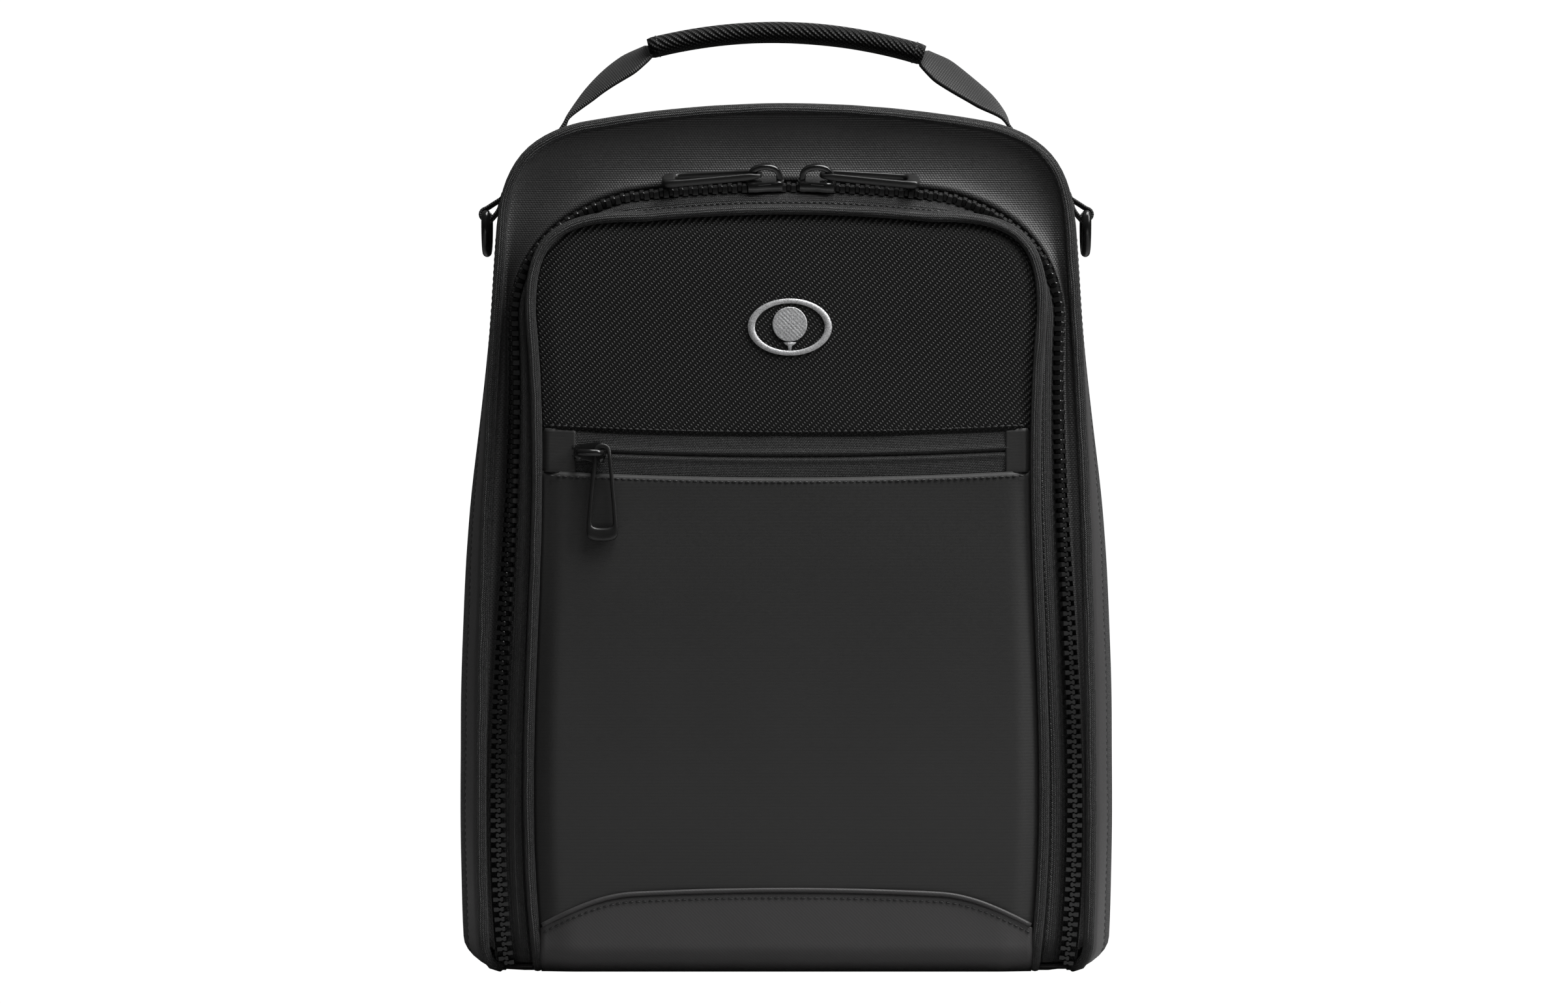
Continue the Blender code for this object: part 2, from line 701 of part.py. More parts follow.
def half_ring(half_long, high, base, steps=8):
    """A square-shouldered arch, open at the bottom, as points from one foot to the other."""
    turns = [math.pi * k / steps for k in range(steps + 1)]
    return [(half_long * math.cos(a), base + high * max(math.sin(a), 0.0) ** 0.5) for a in turns]


def build_slider(name, matrix, finish, pivot, plate_low, skirt_low, scale=1.0, bridge_high=0.0051):
    """A slider's upper half: its plate, the skirt on the door's side and the bridge over the top."""
    half, wide = SLIDER_LENGTH / 2 * scale, SLIDER_HALF_WIDE * scale
    top = plate_low + 0.0016 * scale
    skirt = wide - 0.0014 * scale
    section = [(-wide, skirt_low), (-skirt, skirt_low), (-skirt, plate_low), (wide, plate_low), (wide, top),
               (-wide, top)]
    body = extruded(name, section, -half, half, matrix, "across_off", finish, pivot)
    outer = half_ring(half * 0.94, bridge_high + 0.0018, top - 0.0004)
    inner = half_ring(half * 0.60, bridge_high, top - 0.0004)
    outline = outer + inner[::-1]
    thick = 0.0013 * scale
    bridge = extruded(name + "_bridge_shape", outline, -thick, thick, matrix, "along_off", finish, pivot)
    bridge.hide_render = True
    bridge.display_type = "WIRE"
    join = body.modifiers.new("bridge", "BOOLEAN")
    join.operation = "UNION"
    join.object = bridge
    return body


def build_pull(name, matrix, length, finish, pivot):
    """A tapering loop: a pivot bar at the narrow end and a solid grip at the wide end. It runs along +X of its frame."""
    bar = 0.0010
    outer = [(-bar, -0.0036), (0.004, -0.0040), (length - 0.004, -0.0068), (length, -0.0046)]
    outer += [(a, -b) for a, b in reversed(outer)]
    inner = [(bar, -0.0021), (0.006, -0.0024), (length - 0.010, -0.0042)]
    inner += [(a, -b) for a, b in reversed(inner)]
    body = extruded(name, outer, -PULL_HALF_THICK, PULL_HALF_THICK, matrix, "along_across", finish, pivot)
    deep = 2 * PULL_HALF_THICK
    hole = extruded(name + "_hole", inner, -deep, deep, matrix, "along_across", finish, pivot)
    hole.hide_render = True
    hole.display_type = "WIRE"
    cut = body.modifiers.new("loop", "BOOLEAN")
    cut.operation = "DIFFERENCE"
    cut.object = hole
    for sign, word in ((1, "above"), (-1, "below")):
        outline = [(-0.004, sign * bar), (-0.004, sign * deep), (0.0016, sign * deep), (0.0016, sign * bar)]
        shave = extruded(f"{name}_{word}", outline, -0.008, 0.008, matrix, "along_off", finish, pivot)
        shave.hide_render = True
        shave.display_type = "WIRE"
        thin = body.modifiers.new(word, "BOOLEAN")
        thin.operation = "DIFFERENCE"
        thin.object = shave
    return body


def zip_frame_at(x):
    """The frame of the top run of the zip at a distance from the middle."""
    turn = math.asin(x / CHAIN_ARC_RADIUS)
    centre_z = CHAIN_TOP_Z - CHAIN_ARC_RADIUS
    z = centre_z + CHAIN_ARC_RADIUS * math.cos(turn)
    along = Vector((math.cos(turn), 0, -math.sin(turn)))
    out = Vector((math.sin(turn), 0, math.cos(turn)))
    tilt = tilt_at(CHAIN_TOP_Z)
    across = out * math.cos(tilt) + Vector((0, 1, 0)) * math.sin(tilt)
    off = out * math.sin(tilt) - Vector((0, 1, 0)) * math.cos(tilt)
    place = Vector((x, chain_point(Vector((0, CHAIN_TOP_Z))).y, z))
    return place, along, across, off


def build_main_sliders(finishes, hinge):
    for word, x, side in (("left", LEFT_SLIDER_X, -1), ("right", RIGHT_SLIDER_X, 1)):
        place, along, across, off = zip_frame_at(x)
        arc_centre = Vector((0, place.y, CHAIN_TOP_Z - CHAIN_ARC_RADIUS))
        travel = pivot_at(f"main_slider_{word}_travel", arc_centre, hinge)
        matrix = local_frame(place, along, across, off)
        build_slider(f"main_slider_{word}", matrix, finishes["metal"], travel, CHAIN_HALF_THICK + GAP, -0.0012)
        bar = matrix @ Vector((side * 0.0022, 0, 0.0055))
        swing = pivot_at(f"main_pull_{word}_swing", bar, travel)
        droop = math.radians(3)
        outward = (side * along * math.cos(droop) - off * math.sin(droop)).normalized()
        lift = (off * math.cos(droop) + side * along * math.sin(droop)).normalized()
        pull_frame = local_frame(bar, outward, lift.cross(outward), lift)
        build_pull(f"main_pull_{word}", pull_frame, MAIN_PULL_LENGTH, finishes["rubber"], swing)
        print(f"main_pull_{word} pivot", tuple(round(c, 5) for c in bar), "axis", tuple(round(c, 5) for c in across))
        print(f"main_slider_{word} centre", tuple(round(c, 5) for c in arc_centre))


def build_pocket_slider(finishes, hinge):
    """The pocket's slider, on a flat arc of zip, with its pull hanging from the bridge."""
    x = POCKET_SLIDER_X
    z = pocket_line(x)
    normal = Vector((0, -1, -DOOR_LEAN)).normalized()
    up = Vector((0, DOOR_LEAN * -normal.y, -normal.y)).normalized()
    along = Vector((1, 0, 0))
    turn = x / POCKET_RADIUS
    along = (along + up * turn).normalized()
    up = normal.cross(along) * -1
    if up.z < 0:
        up = -up
    place = Vector((x, door_y(z), z))
    arc_centre = Vector((0, door_y(POCKET_Z), POCKET_Z)) + POCKET_RADIUS * Vector((0, DOOR_LEAN, 1)).normalized()
    travel = pivot_at("pocket_slider_travel", arc_centre, hinge)
    matrix = local_frame(place, along, up, normal)
    scale = 0.86
    build_slider("pocket_slider", matrix, finishes["metal"], travel, 0.0003, 0.00028, scale, 0.0057)
    peg = matrix @ Vector((0.0053, 0.0, 0.0035))
    swing = pivot_at("pocket_pull_swing", peg, travel)
    hang = Vector((0, DOOR_LEAN, 1)).normalized() * -1
    lift = Vector((0, -1, -DOOR_LEAN)).normalized()
    start = peg - hang * 0.0030
    pull_frame = local_frame(start, hang, lift.cross(hang), lift)
    build_pull("pocket_pull", pull_frame, POCKET_PULL_LENGTH, finishes["rubber"], swing)
    print("pocket_slider centre", tuple(round(c, 5) for c in arc_centre), "normal", tuple(round(c, 5) for c in normal))
    print("pocket_pull pivot", tuple(round(c, 5) for c in peg), "axis", tuple(round(c, 5) for c in lift))


# ---- handle --------------------------------------------------------------------------------
def top_z(x, depth):
    """The height of the skin above a point of the top."""
    points = list(reversed(half_outline(depth)[SHOULDER:]))
    x = abs(x)
    for a, b in zip(points, points[1:]):
        if a.x <= x <= b.x:
            return a.y + (b.y - a.y) * (x - a.x) / (b.x - a.x)
    return points[-1].y


def handle_line():
    """The middle of the handle from its left foot to its right foot, as (x, z)."""
    foot = Vector((HANDLE_FOOT_X, HANDLE_AXIS_Z + 0.0002))
    grip_end = Vector((GRIP_HALF, HANDLE_TOP_Z - GRIP_DROP))
    half = [cubic(k / 5, foot, foot + Vector((-0.009, 0.012)), grip_end + Vector((0.013, -0.009)), grip_end)
            for k in range(5)]
    for k in range(5):
        x = GRIP_HALF * (1 - k / 4)
        half.append(Vector((x, HANDLE_TOP_Z - GRIP_DROP * (x / GRIP_HALF) ** 2)))
    line = both_sides(half)
    return [Vector((p.x, p.y - HANDLE_TILT * p.x * ease(0.0, 0.02, p.y - HANDLE_AXIS_Z))) for p in reversed(line)]


def build_handle(finishes):
    pivot = pivot_at("handle_fold", Vector((0, HANDLE_Y, HANDLE_AXIS_Z)))
    line = handle_line()
    grip_count = 9
    first_grip = (len(line) - grip_count) // 2
    strap_rings, grip_rings = [], []
    for i, p in enumerate(line):
        along = (line[min(i + 1, len(line) - 1)] - line[max(i - 1, 0)]).normalized()
        up = Vector((-along.y, along.x))
        in_grip = first_grip <= i < first_grip + grip_count
        half_wide = 0.0068 if in_grip else min(0.0118, 0.0028 + 0.55 * (p.y - HANDLE_AXIS_Z))
        thick = 0.0009
        ring = []
        for side, level in ((-1, -1), (1, -1), (1, 1), (-1, 1)):
            q = p + up * thick * level
            ring.append((q.x, HANDLE_Y + side * half_wide, q.y))
        strap_rings.append(ring)
        if in_grip:
            grip_rings.append((p, up))
    sweep("handle_strap", strap_rings, finishes["webbing"], pivot)
    build_grip(grip_rings, finishes["twill"], pivot)
    for side, word in ((-1, "left"), (1, "right")):
        build_anchor(side, word, finishes["webbing"])


def build_grip(stations, finish, pivot):
    """A padded sleeve round the middle of the strap."""
    sides = 12
    turns = [2 * math.pi * k / sides for k in range(sides)]

    def loop(p, up, half_wide, half_high):
        made = []
        for a in turns:
            q = p + up * half_high * math.sin(a)
            made.append((q.x, HANDLE_Y + half_wide * math.cos(a), q.y))
        return made

    outside = [loop(p, up, 0.0100, 0.0045) for p, up in stations]
    inside = [loop(p, up, 0.0084, 0.0027) for p, up in stations]
    sweep("handle_grip", outside + inside[::-1], finish, pivot, closed=True)


def build_anchor(side, word, finish):
    """The sewn end of the strap, flat on the top gusset."""
    low, high = 0.0003, 0.0021
    xs = [0.0875 + 0.0235 * k / 5 for k in range(6)]
    ys = [HANDLE_Y + 0.0125 * k for k in (-1, 0, 1)]
    grids = []
    for lift in (high, low):
        grid = []
        for y in ys:
            front = lean_y(0.36) + 0.003
            depth = (y - front) / (BACK_Y - 0.003 - front)
            row = []
            for x in xs:
                slope = (top_z(x + 0.002, depth) - top_z(x - 0.002, depth)) / 0.004
                steep = math.sqrt(1 + slope * slope)
                row.append((side * x, y, top_z(x, depth) + (lift + 0.0002) * steep))
            grid.append(row)
        grids.append(grid)
    slab(f"handle_anchor_{word}", grids[0], grids[1], finish)


# ---- side rings ----------------------------------------------------------------------------
def skin_x(z, depth):
    points = half_outline(depth)
    for a, b in zip(points, points[1:]):
        if a.y <= z <= b.y and b.y > a.y:
            return a.x + (b.x - a.x) * (z - a.y) / (b.y - a.y)
    return points[-1].x


def build_ring(side, word, finishes):
    """A moulded ring that hangs in a loop of webbing sewn to the side."""
    centre = Vector((RING_X, RING_Z))
    eye_in, eye_out = RING_ROD + 0.0004, RING_ROD + 0.0017
    turns = [math.radians(120 - 270 * k / 9) for k in range(10)]
    near = [Vector((skin_x(z, 0.5) + 0.0006, z)) for z in (0.350, 0.342, 0.335)]
    far = [p + Vector((0.0015, 0.0004)) for p in reversed(near)]
    ring_in = [centre + eye_in * Vector((math.cos(a), math.sin(a))) for a in turns]
    ring_out = [centre + eye_out * Vector((math.cos(a), math.sin(a))) for a in reversed(turns)]
    outline = near + ring_in + ring_out + far
    rings = []
    for y in (RING_Y - TAB_HALF, RING_Y + TAB_HALF):
        rings.append([(side * p.x, y, p.y) for p in outline])
    sweep(f"ring_tab_{word}", rings, finishes["webbing"])
    pivot = pivot_at(f"ring_{word}_swing", Vector((side * RING_X, RING_Y, RING_Z)))
    path = [(-RING_HALF * 0.6, 0.0), (0.0, 0.0), (RING_HALF * 0.6, 0.0), (RING_HALF * 0.93, -0.0008)]
    for k in range(9):
        a = math.pi * k / 8
        path.append((RING_HALF * math.cos(a), -RING_FALL - RING_HALF * math.sin(a)))
    path.append((-RING_HALF * 0.93, -0.0008))
    points = [Vector((side * RING_X, RING_Y + y, RING_Z + z)) for y, z in path]
    rings = []
    for i, point in enumerate(points):
        along = (points[(i + 1) % len(points)] - points[i - 1]).normalized()
        over = Vector((1, 0, 0))
        across = along.cross(over)
        corners = [2 * math.pi * (k + 0.5) / 8 for k in range(8)]
        rings.append([point + RING_ROD * (math.cos(a) * across + math.sin(a) * over) for a in corners])
    sweep(f"side_ring_{word}", rings, finishes["plastic"], pivot, closed=True)


def main():
    clear_scene()
    finishes = make_materials()
    build_case(finishes)
    build_frame_trim(finishes)
    hinge = pivot_at("door_hinge", Vector((0, front_y(HINGE_Z), HINGE_Z)))
    build_door(finishes, hinge)
    build_main_sliders(finishes, hinge)
    build_pocket_slider(finishes, hinge)
    build_handle(finishes)
    for side, word in ((-1, "left"), (1, "right")):
        build_ring(side, word, finishes)
    print("door hinge", tuple(round(c, 5) for c in hinge.location))


main()
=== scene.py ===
import math

import bmesh
import bpy
import numpy as np
from mathutils import Matrix, Vector, noise


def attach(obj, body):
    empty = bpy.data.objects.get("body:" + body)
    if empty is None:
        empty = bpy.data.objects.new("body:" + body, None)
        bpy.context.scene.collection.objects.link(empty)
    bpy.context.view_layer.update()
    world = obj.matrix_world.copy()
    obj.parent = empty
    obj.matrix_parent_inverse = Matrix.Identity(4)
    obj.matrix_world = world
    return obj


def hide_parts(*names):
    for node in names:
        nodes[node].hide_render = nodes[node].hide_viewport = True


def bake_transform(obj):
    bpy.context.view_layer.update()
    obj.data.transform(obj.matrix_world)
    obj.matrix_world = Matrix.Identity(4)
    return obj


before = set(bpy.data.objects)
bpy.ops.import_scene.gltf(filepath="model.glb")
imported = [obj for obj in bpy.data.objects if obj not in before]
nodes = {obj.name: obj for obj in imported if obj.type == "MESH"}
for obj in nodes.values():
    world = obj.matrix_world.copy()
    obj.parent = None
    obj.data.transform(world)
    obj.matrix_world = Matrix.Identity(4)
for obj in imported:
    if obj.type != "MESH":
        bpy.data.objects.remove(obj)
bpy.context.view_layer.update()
print("frame loaded")

# the bag's own measures, in metres, as the solids have them
bag = {
    "height": 0.3719, "crown": 0.0031, "frontY": -0.0752, "backY": 0.0798, "frontLean": 0.054, "leanTop": 0.332,
    "doorFront": -0.0782, "doorLean": 0.025, "frontRound": 0.016, "shoulderZ": 0.316,
    "topArcRadius": 0.48, "topArcHalf": 0.088, "baseHalf": 0.1205, "baseCorner": 0.012,
    "edgeHalf": 0.132, "edgeTaper": 0.0085, "footTaper": 0.002, "waistZ": 0.07, "belly": 0.010,
}
outlineSteps = {"base": 8, "side": 44, "corner": 16, "top": 16}
shoulderIndex = outlineSteps["base"] + outlineSteps["side"]
zipLine = {
    "lowZ": 0.0045, "cornerZ": 0.280, "topZ": 0.3364, "arcRadius": 0.54, "arcHalf": 0.068,
    "sideX": (0.1195, 0.1298, 0.1132, 0.1172), "shelf": 0.005, "riseLow": 0.03, "riseHigh": 0.30,
    "shelfTilt": math.radians(68), "lowTilt": math.radians(4), "tapeFront": 0.0021,
}
doorLine = {
    "lowZ": 0.0115, "topZ": 0.3265, "arcRadius": 0.60, "arcHalf": 0.062,
    "sideX": (0.1065, 0.11685, 0.1002, 0.1092), "footX": 0.1062, "footZ": (0.0024, 0.0054, 0.0085),
    "pipingRadius": 0.0017, "pipingOut": 0.0008, "pipingRise": 0.0054,
}
pocketLine = {"z": 0.2206, "radius": 1.84, "halfHigh": 0.0088}


def ease(low, high, value):
    share = min(1.0, max(0.0, (value - low) / (high - low)))
    return share * share * (3 - 2 * share)


def cubic(t, a, b, c, d):
    s = 1 - t
    return a * s**3 + b * 3 * s * s * t + c * 3 * s * t * t + d * t**3


def curve(count, a, b, c, d):
    return [cubic(k / count, a, b, c, d) for k in range(1, count + 1)]


def flatArc(count, half, top, radius):
    # the shallow arc over a top, from one end to the middle
    spots = [half * (1 - k / count) for k in range(1, count + 1)]
    return [Vector((x, top - x * x / 2 / radius)) for x in spots]


def insetLine(points, distance):
    moved = []
    for i, point in enumerate(points):
        before, after = points[max(i - 1, 0)], points[min(i + 1, len(points) - 1)]
        along = (after - before).normalized()
        if i == len(points) - 1 and abs(point.x) < 1e-6:
            along = Vector((-1, 0))
        moved.append(point + distance * Vector((-along.y, along.x)))
    return moved


def bothSides(half):
    return half + [Vector((-p.x, p.y)) for p in reversed(half[:-1])]


def evenly(points, count=None, step=None):
    arr = np.array([tuple(p) for p in points], float)
    lengths = np.concatenate([[0], np.cumsum(np.linalg.norm(np.diff(arr, axis=0), axis=1))])
    if count is None:
        count = max(2, round(lengths[-1] / step) + 1)
    wanted = np.linspace(0, lengths[-1], count)
    return np.stack([np.interp(wanted, lengths, arr[:, k]) for k in range(arr.shape[1])], axis=1)


def leanY(z):
    return bag["frontY"] + bag["frontLean"] * min(z, bag["leanTop"])


def frontY(z):
    below = max(0.0, bag["frontRound"] - z)
    return leanY(z) + bag["frontRound"] - math.sqrt(max(0.0, bag["frontRound"] ** 2 - below**2))


def doorY(z):
    return bag["doorFront"] + bag["doorLean"] * z


def edgeHalf(z):
    if z > bag["waistZ"]:
        return bag["edgeHalf"] - bag["edgeTaper"] * ((z - bag["waistZ"]) / 0.25) ** 2
    return bag["edgeHalf"] - bag["footTaper"] * ((bag["waistZ"] - z) / bag["waistZ"]) ** 2


def halfWidth(z, depth):
    belly = bag["belly"] * (1 - 0.75 * ease(0.15, 0.30, z))
    return edgeHalf(z) + belly * max(0.0, math.sin(math.pi * depth)) ** 0.7


def halfOutline(depth):
    # the right half of the case's outline, foot to top, at a depth from 0 (front) to 1 (back)
    corner, foot = bag["baseCorner"], halfWidth(bag["baseCorner"], depth)
    points = []
    for k in range(outlineSteps["base"]):
        turn = math.pi / 2 * k / outlineSteps["base"]
        x = bag["baseHalf"] + (foot - bag["baseHalf"]) * math.sin(turn)
        points.append(Vector((x, corner * (1 - math.cos(turn)))))
    for k in range(outlineSteps["side"] + 1):
        z = corner + (bag["shoulderZ"] - corner) * k / outlineSteps["side"]
        points.append(Vector((halfWidth(z, depth), z)))
    top = bag["height"] + bag["crown"] * math.sin(math.pi * depth)
    half, radius = bag["topArcHalf"], bag["topArcRadius"]
    start, end = points[-1], Vector((half, top - half**2 / 2 / radius))
    above, before = start + Vector((-0.001, 0.029)), end + Vector((0.024, -0.0055))
    points += curve(outlineSteps["corner"], start, above, before, end)
    return points + flatArc(outlineSteps["top"], half, top, radius)


def sideLine(line, steps, curveLow):
    # up the side of the zip or the door, to the corner
    points = []
    for k in range(steps + 1):
        z = line["lowZ"] + (zipLine["cornerZ"] - line["lowZ"]) * k / steps
        points.append(Vector((cubic((z - curveLow) / (zipLine["cornerZ"] - curveLow), *line["sideX"]), z)))
    return points


def chainHalf(sideSteps=44, cornerSteps=20, topSteps=20):
    points = sideLine(zipLine, sideSteps, 0.006)
    half, radius = zipLine["arcHalf"], zipLine["arcRadius"]
    centreZ = zipLine["topZ"] - radius
    start, end = points[-1], Vector((half, centreZ + math.sqrt(radius**2 - half**2)))
    above, before = start + Vector((0.0, 0.023)), end + Vector((0.032, -0.0072))
    points += curve(cornerSteps, start, above, before, end)
    for k in range(1, topSteps + 1):
        x = half * (1 - k / topSteps)
        points.append(Vector((x, centreZ + math.sqrt(radius**2 - x * x))))
    return points


def doorHalf(sideSteps=44, cornerSteps=20, topSteps=20):
    points = sideLine(doorLine, sideSteps, 0.010)
    half, radius = doorLine["arcHalf"], doorLine["arcRadius"]
    start, end = points[-1], Vector((half, doorLine["topZ"] - half**2 / 2 / radius))
    above, before = start + Vector((0.0011, 0.032)), end + Vector((0.039, 0.001))
    points += curve(cornerSteps, start, above, before, end)
    return points + flatArc(topSteps, half, doorLine["topZ"], radius)


def doorFoot():
    # the piping and tape of the door run on below its lower edge
    return [Vector((doorLine["footX"], z)) for z in doorLine["footZ"]]


def rise(z):
    return ease(zipLine["riseLow"], zipLine["riseHigh"], z)


def chainPlace(x, z):
    return Vector((x, frontY(z) - zipLine["shelf"] * rise(z), z))


def pipingPlace(x, z):
    return chainPlace(x, z) - Vector((0, doorLine["pipingOut"] + doorLine["pipingRise"] * rise(z), 0))


def chainFrames(step):
    # place, direction along, across the tapes outwards, and off their face, at even steps of the zip
    line = evenly(bothSides(chainHalf()), step=step)
    made = []
    for i, (x, z) in enumerate(line):
        before, after = line[max(i - 1, 0)], line[min(i + 1, len(line) - 1)]
        along = Vector((after[0] - before[0], after[1] - before[1])).normalized()
        out = Vector((along.y, 0, -along.x))
        tilt = zipLine["lowTilt"] + zipLine["shelfTilt"] * rise(z)
        across = out * math.cos(tilt) + Vector((0, 1, 0)) * math.sin(tilt)
        off = out * math.sin(tilt) - Vector((0, 1, 0)) * math.cos(tilt)
        made.append((chainPlace(x, z), across.cross(off), across, off))
    return made


def pocketZ(x, offset=0.0):
    return pocketLine["z"] + offset + x * x / 2 / pocketLine["radius"]


def wobble(place, size, amount):
    return amount * noise.noise(Vector(place) / size)


def deselect():
    if bpy.context.object and bpy.context.object.mode != "OBJECT":
        bpy.ops.object.mode_set(mode="OBJECT")
    bpy.ops.object.select_all(action="DESELECT")


def useModifier(piece, kind, **values):
    deselect()
    piece.select_set(True)
    bpy.context.view_layer.objects.active = piece
    modifier = piece.modifiers.new(kind.title(), kind)
    for key, value in values.items():
        setattr(modifier, key, value)
    bpy.ops.object.modifier_apply(modifier=modifier.name)


def runLength(points, axis):
    # metres run along a grid of points, from its first row or column
    steps = np.linalg.norm(np.diff(points, axis=axis), axis=2)
    start = np.zeros_like(steps.take([0], axis=axis))
    return np.concatenate([start, np.cumsum(steps, axis=axis)], axis=axis)


def clothGrid(name, points, uv=None, inside=(0, 0, 0.2), thick=0.0, wrap=False, caps=False):
    # a grid primitive whose points are laid on a surface; its map is in metres along the cloth
    points = np.array(points, float)
    rows, columns = points.shape[:2]
    deselect()
    bpy.ops.mesh.primitive_grid_add(x_subdivisions=columns - 1, y_subdivisions=rows - 1, size=1)
    piece = bpy.context.object
    piece.name = piece.data.name = name
    mesh = piece.data
    mesh.vertices.foreach_set("co", points.reshape(-1))
    if uv is None:
        along = runLength(points, 1)
        uv = np.stack([along - along[:, [columns // 2]], runLength(points, 0)], axis=2)
    flat = np.array(uv, float).reshape(-1, 2)
    corner = np.zeros(len(mesh.loops), int)
    mesh.loops.foreach_get("vertex_index", corner)
    mesh.uv_layers[0].data.foreach_set("uv", flat[corner].reshape(-1))
    mesh.update()
    shape = bmesh.new()
    shape.from_mesh(mesh)
    if wrap:
        bmesh.ops.remove_doubles(shape, verts=shape.verts, dist=1e-6)
    if caps:
        bmesh.ops.holes_fill(shape, edges=shape.edges, sides=0)
        bmesh.ops.recalc_face_normals(shape, faces=shape.faces)
    else:
        middle = Vector(inside)
        outward = sum(f.normal.dot(f.calc_center_median() - middle) * f.calc_area() for f in shape.faces)
        if outward < 0:
            bmesh.ops.reverse_faces(shape, faces=shape.faces)
    shape.to_mesh(mesh)
    shape.free()
    if thick:
        useModifier(piece, "SOLIDIFY", thickness=thick, offset=-1)
    mesh.shade_smooth()
    return piece


def turned(k, count):
    turn = 2 * math.pi * k / count
    return math.cos(turn), math.sin(turn)


def squared(value, power):
    # a sine or cosine pushed towards a square, for a bar with flattened sides
    return math.copysign(abs(value) ** power, value)


def roundCord(name, path, radius, sides=12, closed=False, up=(0, 1, 0), lumps=0.0):
    # a cord along a path; its map runs along it in metres and round it
    path = [Vector(p) for p in path]
    count = len(path)
    rings, uv, run = [], [], 0.0
    for i in range(count + (1 if closed else 0)):
        here = path[i % count]
        before = path[(i - 1) % count] if closed else path[max(i - 1, 0)]
        after = path[(i + 1) % count] if closed else path[min(i + 1, count - 1)]
        along = (after - before).normalized()
        across = along.cross(Vector(up))
        if across.length < 0.15:
            across = along.cross(Vector((1, 0, 0)))
        across.normalize()
        over = across.cross(along)
        size = radius + wobble(here, 0.012, lumps)
        turns = [turned(k, sides) for k in range(sides + 1)]
        rings.append([here + size * (c * across + s * over) for c, s in turns])
        uv.append([(run, size * 2 * math.pi * k / sides) for k in range(sides + 1)])
        if i < count and (closed or i < count - 1):
            run += (path[(i + 1) % count] - here).length
    return clothGrid(name, rings, uv, wrap=True, caps=True)


def joined(name, pieces):
    deselect()
    for piece in pieces:
        piece.select_set(True)
    bpy.context.view_layer.objects.active = pieces[0]
    bpy.ops.object.join()
    pieces[0].name = pieces[0].data.name = name
    return pieces[0]


def copies(name, model, matrices):
    # many placed copies of one small model, in one mesh
    base = np.array([v.co for v in model.data.vertices], float)
    faces = [list(p.vertices) for p in model.data.polygons]
    places, allFaces = [], []
    for i, matrix in enumerate(matrices):
        m = np.array(matrix, float)
        places.append(base @ m[:3, :3].T + m[:3, 3])
        allFaces.extend([[v + i * len(base) for v in face] for face in faces])
    mesh = bpy.data.meshes.new(name)
    mesh.from_pydata(np.concatenate(places).tolist(), [], allFaces)
    mesh.shade_smooth()
    piece = bpy.data.objects.new(name, mesh)
    bpy.context.scene.collection.objects.link(piece)
    bpy.data.objects.remove(model)
    return piece


def axes(place, along, across, off):
    matrix = Matrix((along, across, off)).transposed().to_4x4()
    matrix.translation = place
    return matrix


def stitchRow(name, path, outward, pitch=0.0028, length=0.0021, width=0.00042, sink=0.00005):
    # thread stitches along a path; outward gives the cloth's normal at a place
    deselect()
    bpy.ops.mesh.primitive_uv_sphere_add(segments=6, ring_count=5, radius=1)
    model = bpy.context.object
    model.data.transform(Matrix.Rotation(math.pi / 2, 4, "Y"))
    model.data.transform(Matrix.Diagonal((length / 2, width, width * 0.75, 1)))
    spots = [Vector(p) for p in evenly(path, step=pitch)]
    matrices = []
    for i in range(len(spots) - 1):
        middle = (spots[i] + spots[i + 1]) / 2
        along = (spots[i + 1] - spots[i]).normalized()
        off = Vector(outward(middle)).normalized()
        across = off.cross(along).normalized()
        matrices.append(axes(middle - off * sink, along, across, along.cross(across)))
    return copies(name, model, matrices)


def blankMaterial(name, colour, rough, metal=0.0, sheen=0.0, coat=0.0, specular=0.5):
    material = bpy.data.materials.new(name)
    material.use_nodes = True
    shader = material.node_tree.nodes["Principled BSDF"]
    shader.inputs["Base Color"].default_value = (*colour, 1)
    shader.inputs["Roughness"].default_value = rough
    shader.inputs["Metallic"].default_value = metal
    shader.inputs["Specular IOR Level"].default_value = specular
    shader.inputs["Sheen Weight"].default_value = sheen
    shader.inputs["Sheen Roughness"].default_value = 0.45
    shader.inputs["Coat Weight"].default_value = coat
    return material, material.node_tree, shader


def op(tree, kind, a, b=None, c=None, clamp=False):
    node = tree.nodes.new("ShaderNodeMath")
    node.operation = kind
    node.use_clamp = clamp
    for slot, value in zip(node.inputs, (a, b, c)):
        if value is None:
            continue
        if isinstance(value, (int, float)):
            slot.default_value = value
        else:
            tree.links.new(value, slot)
    return node.outputs[0]


def bumpFrom(tree, shader, height, strength, deep):
    bump = tree.nodes.new("ShaderNodeBump")
    bump.inputs["Strength"].default_value = strength
    bump.inputs["Distance"].default_value = deep
    tree.links.new(height, bump.inputs["Height"])
    tree.links.new(bump.outputs[0], shader.inputs["Normal"])


def millimetres(tree):
    # the piece's own map, in millimetres along the cloth
    coords = tree.nodes.new("ShaderNodeTexCoord")
    parts = tree.nodes.new("ShaderNodeSeparateXYZ")
    tree.links.new(coords.outputs["UV"], parts.inputs[0])
    return [op(tree, "MULTIPLY", parts.outputs[k], 1000.0) for k in range(2)]


def speckle(tree, scale, detail):
    coords = tree.nodes.new("ShaderNodeTexCoord")
    texture = tree.nodes.new("ShaderNodeTexNoise")
    texture.inputs["Scale"].default_value = scale
    texture.inputs["Detail"].default_value = detail
    tree.links.new(coords.outputs["Object"], texture.inputs["Vector"])
    return texture.outputs["Fac"]


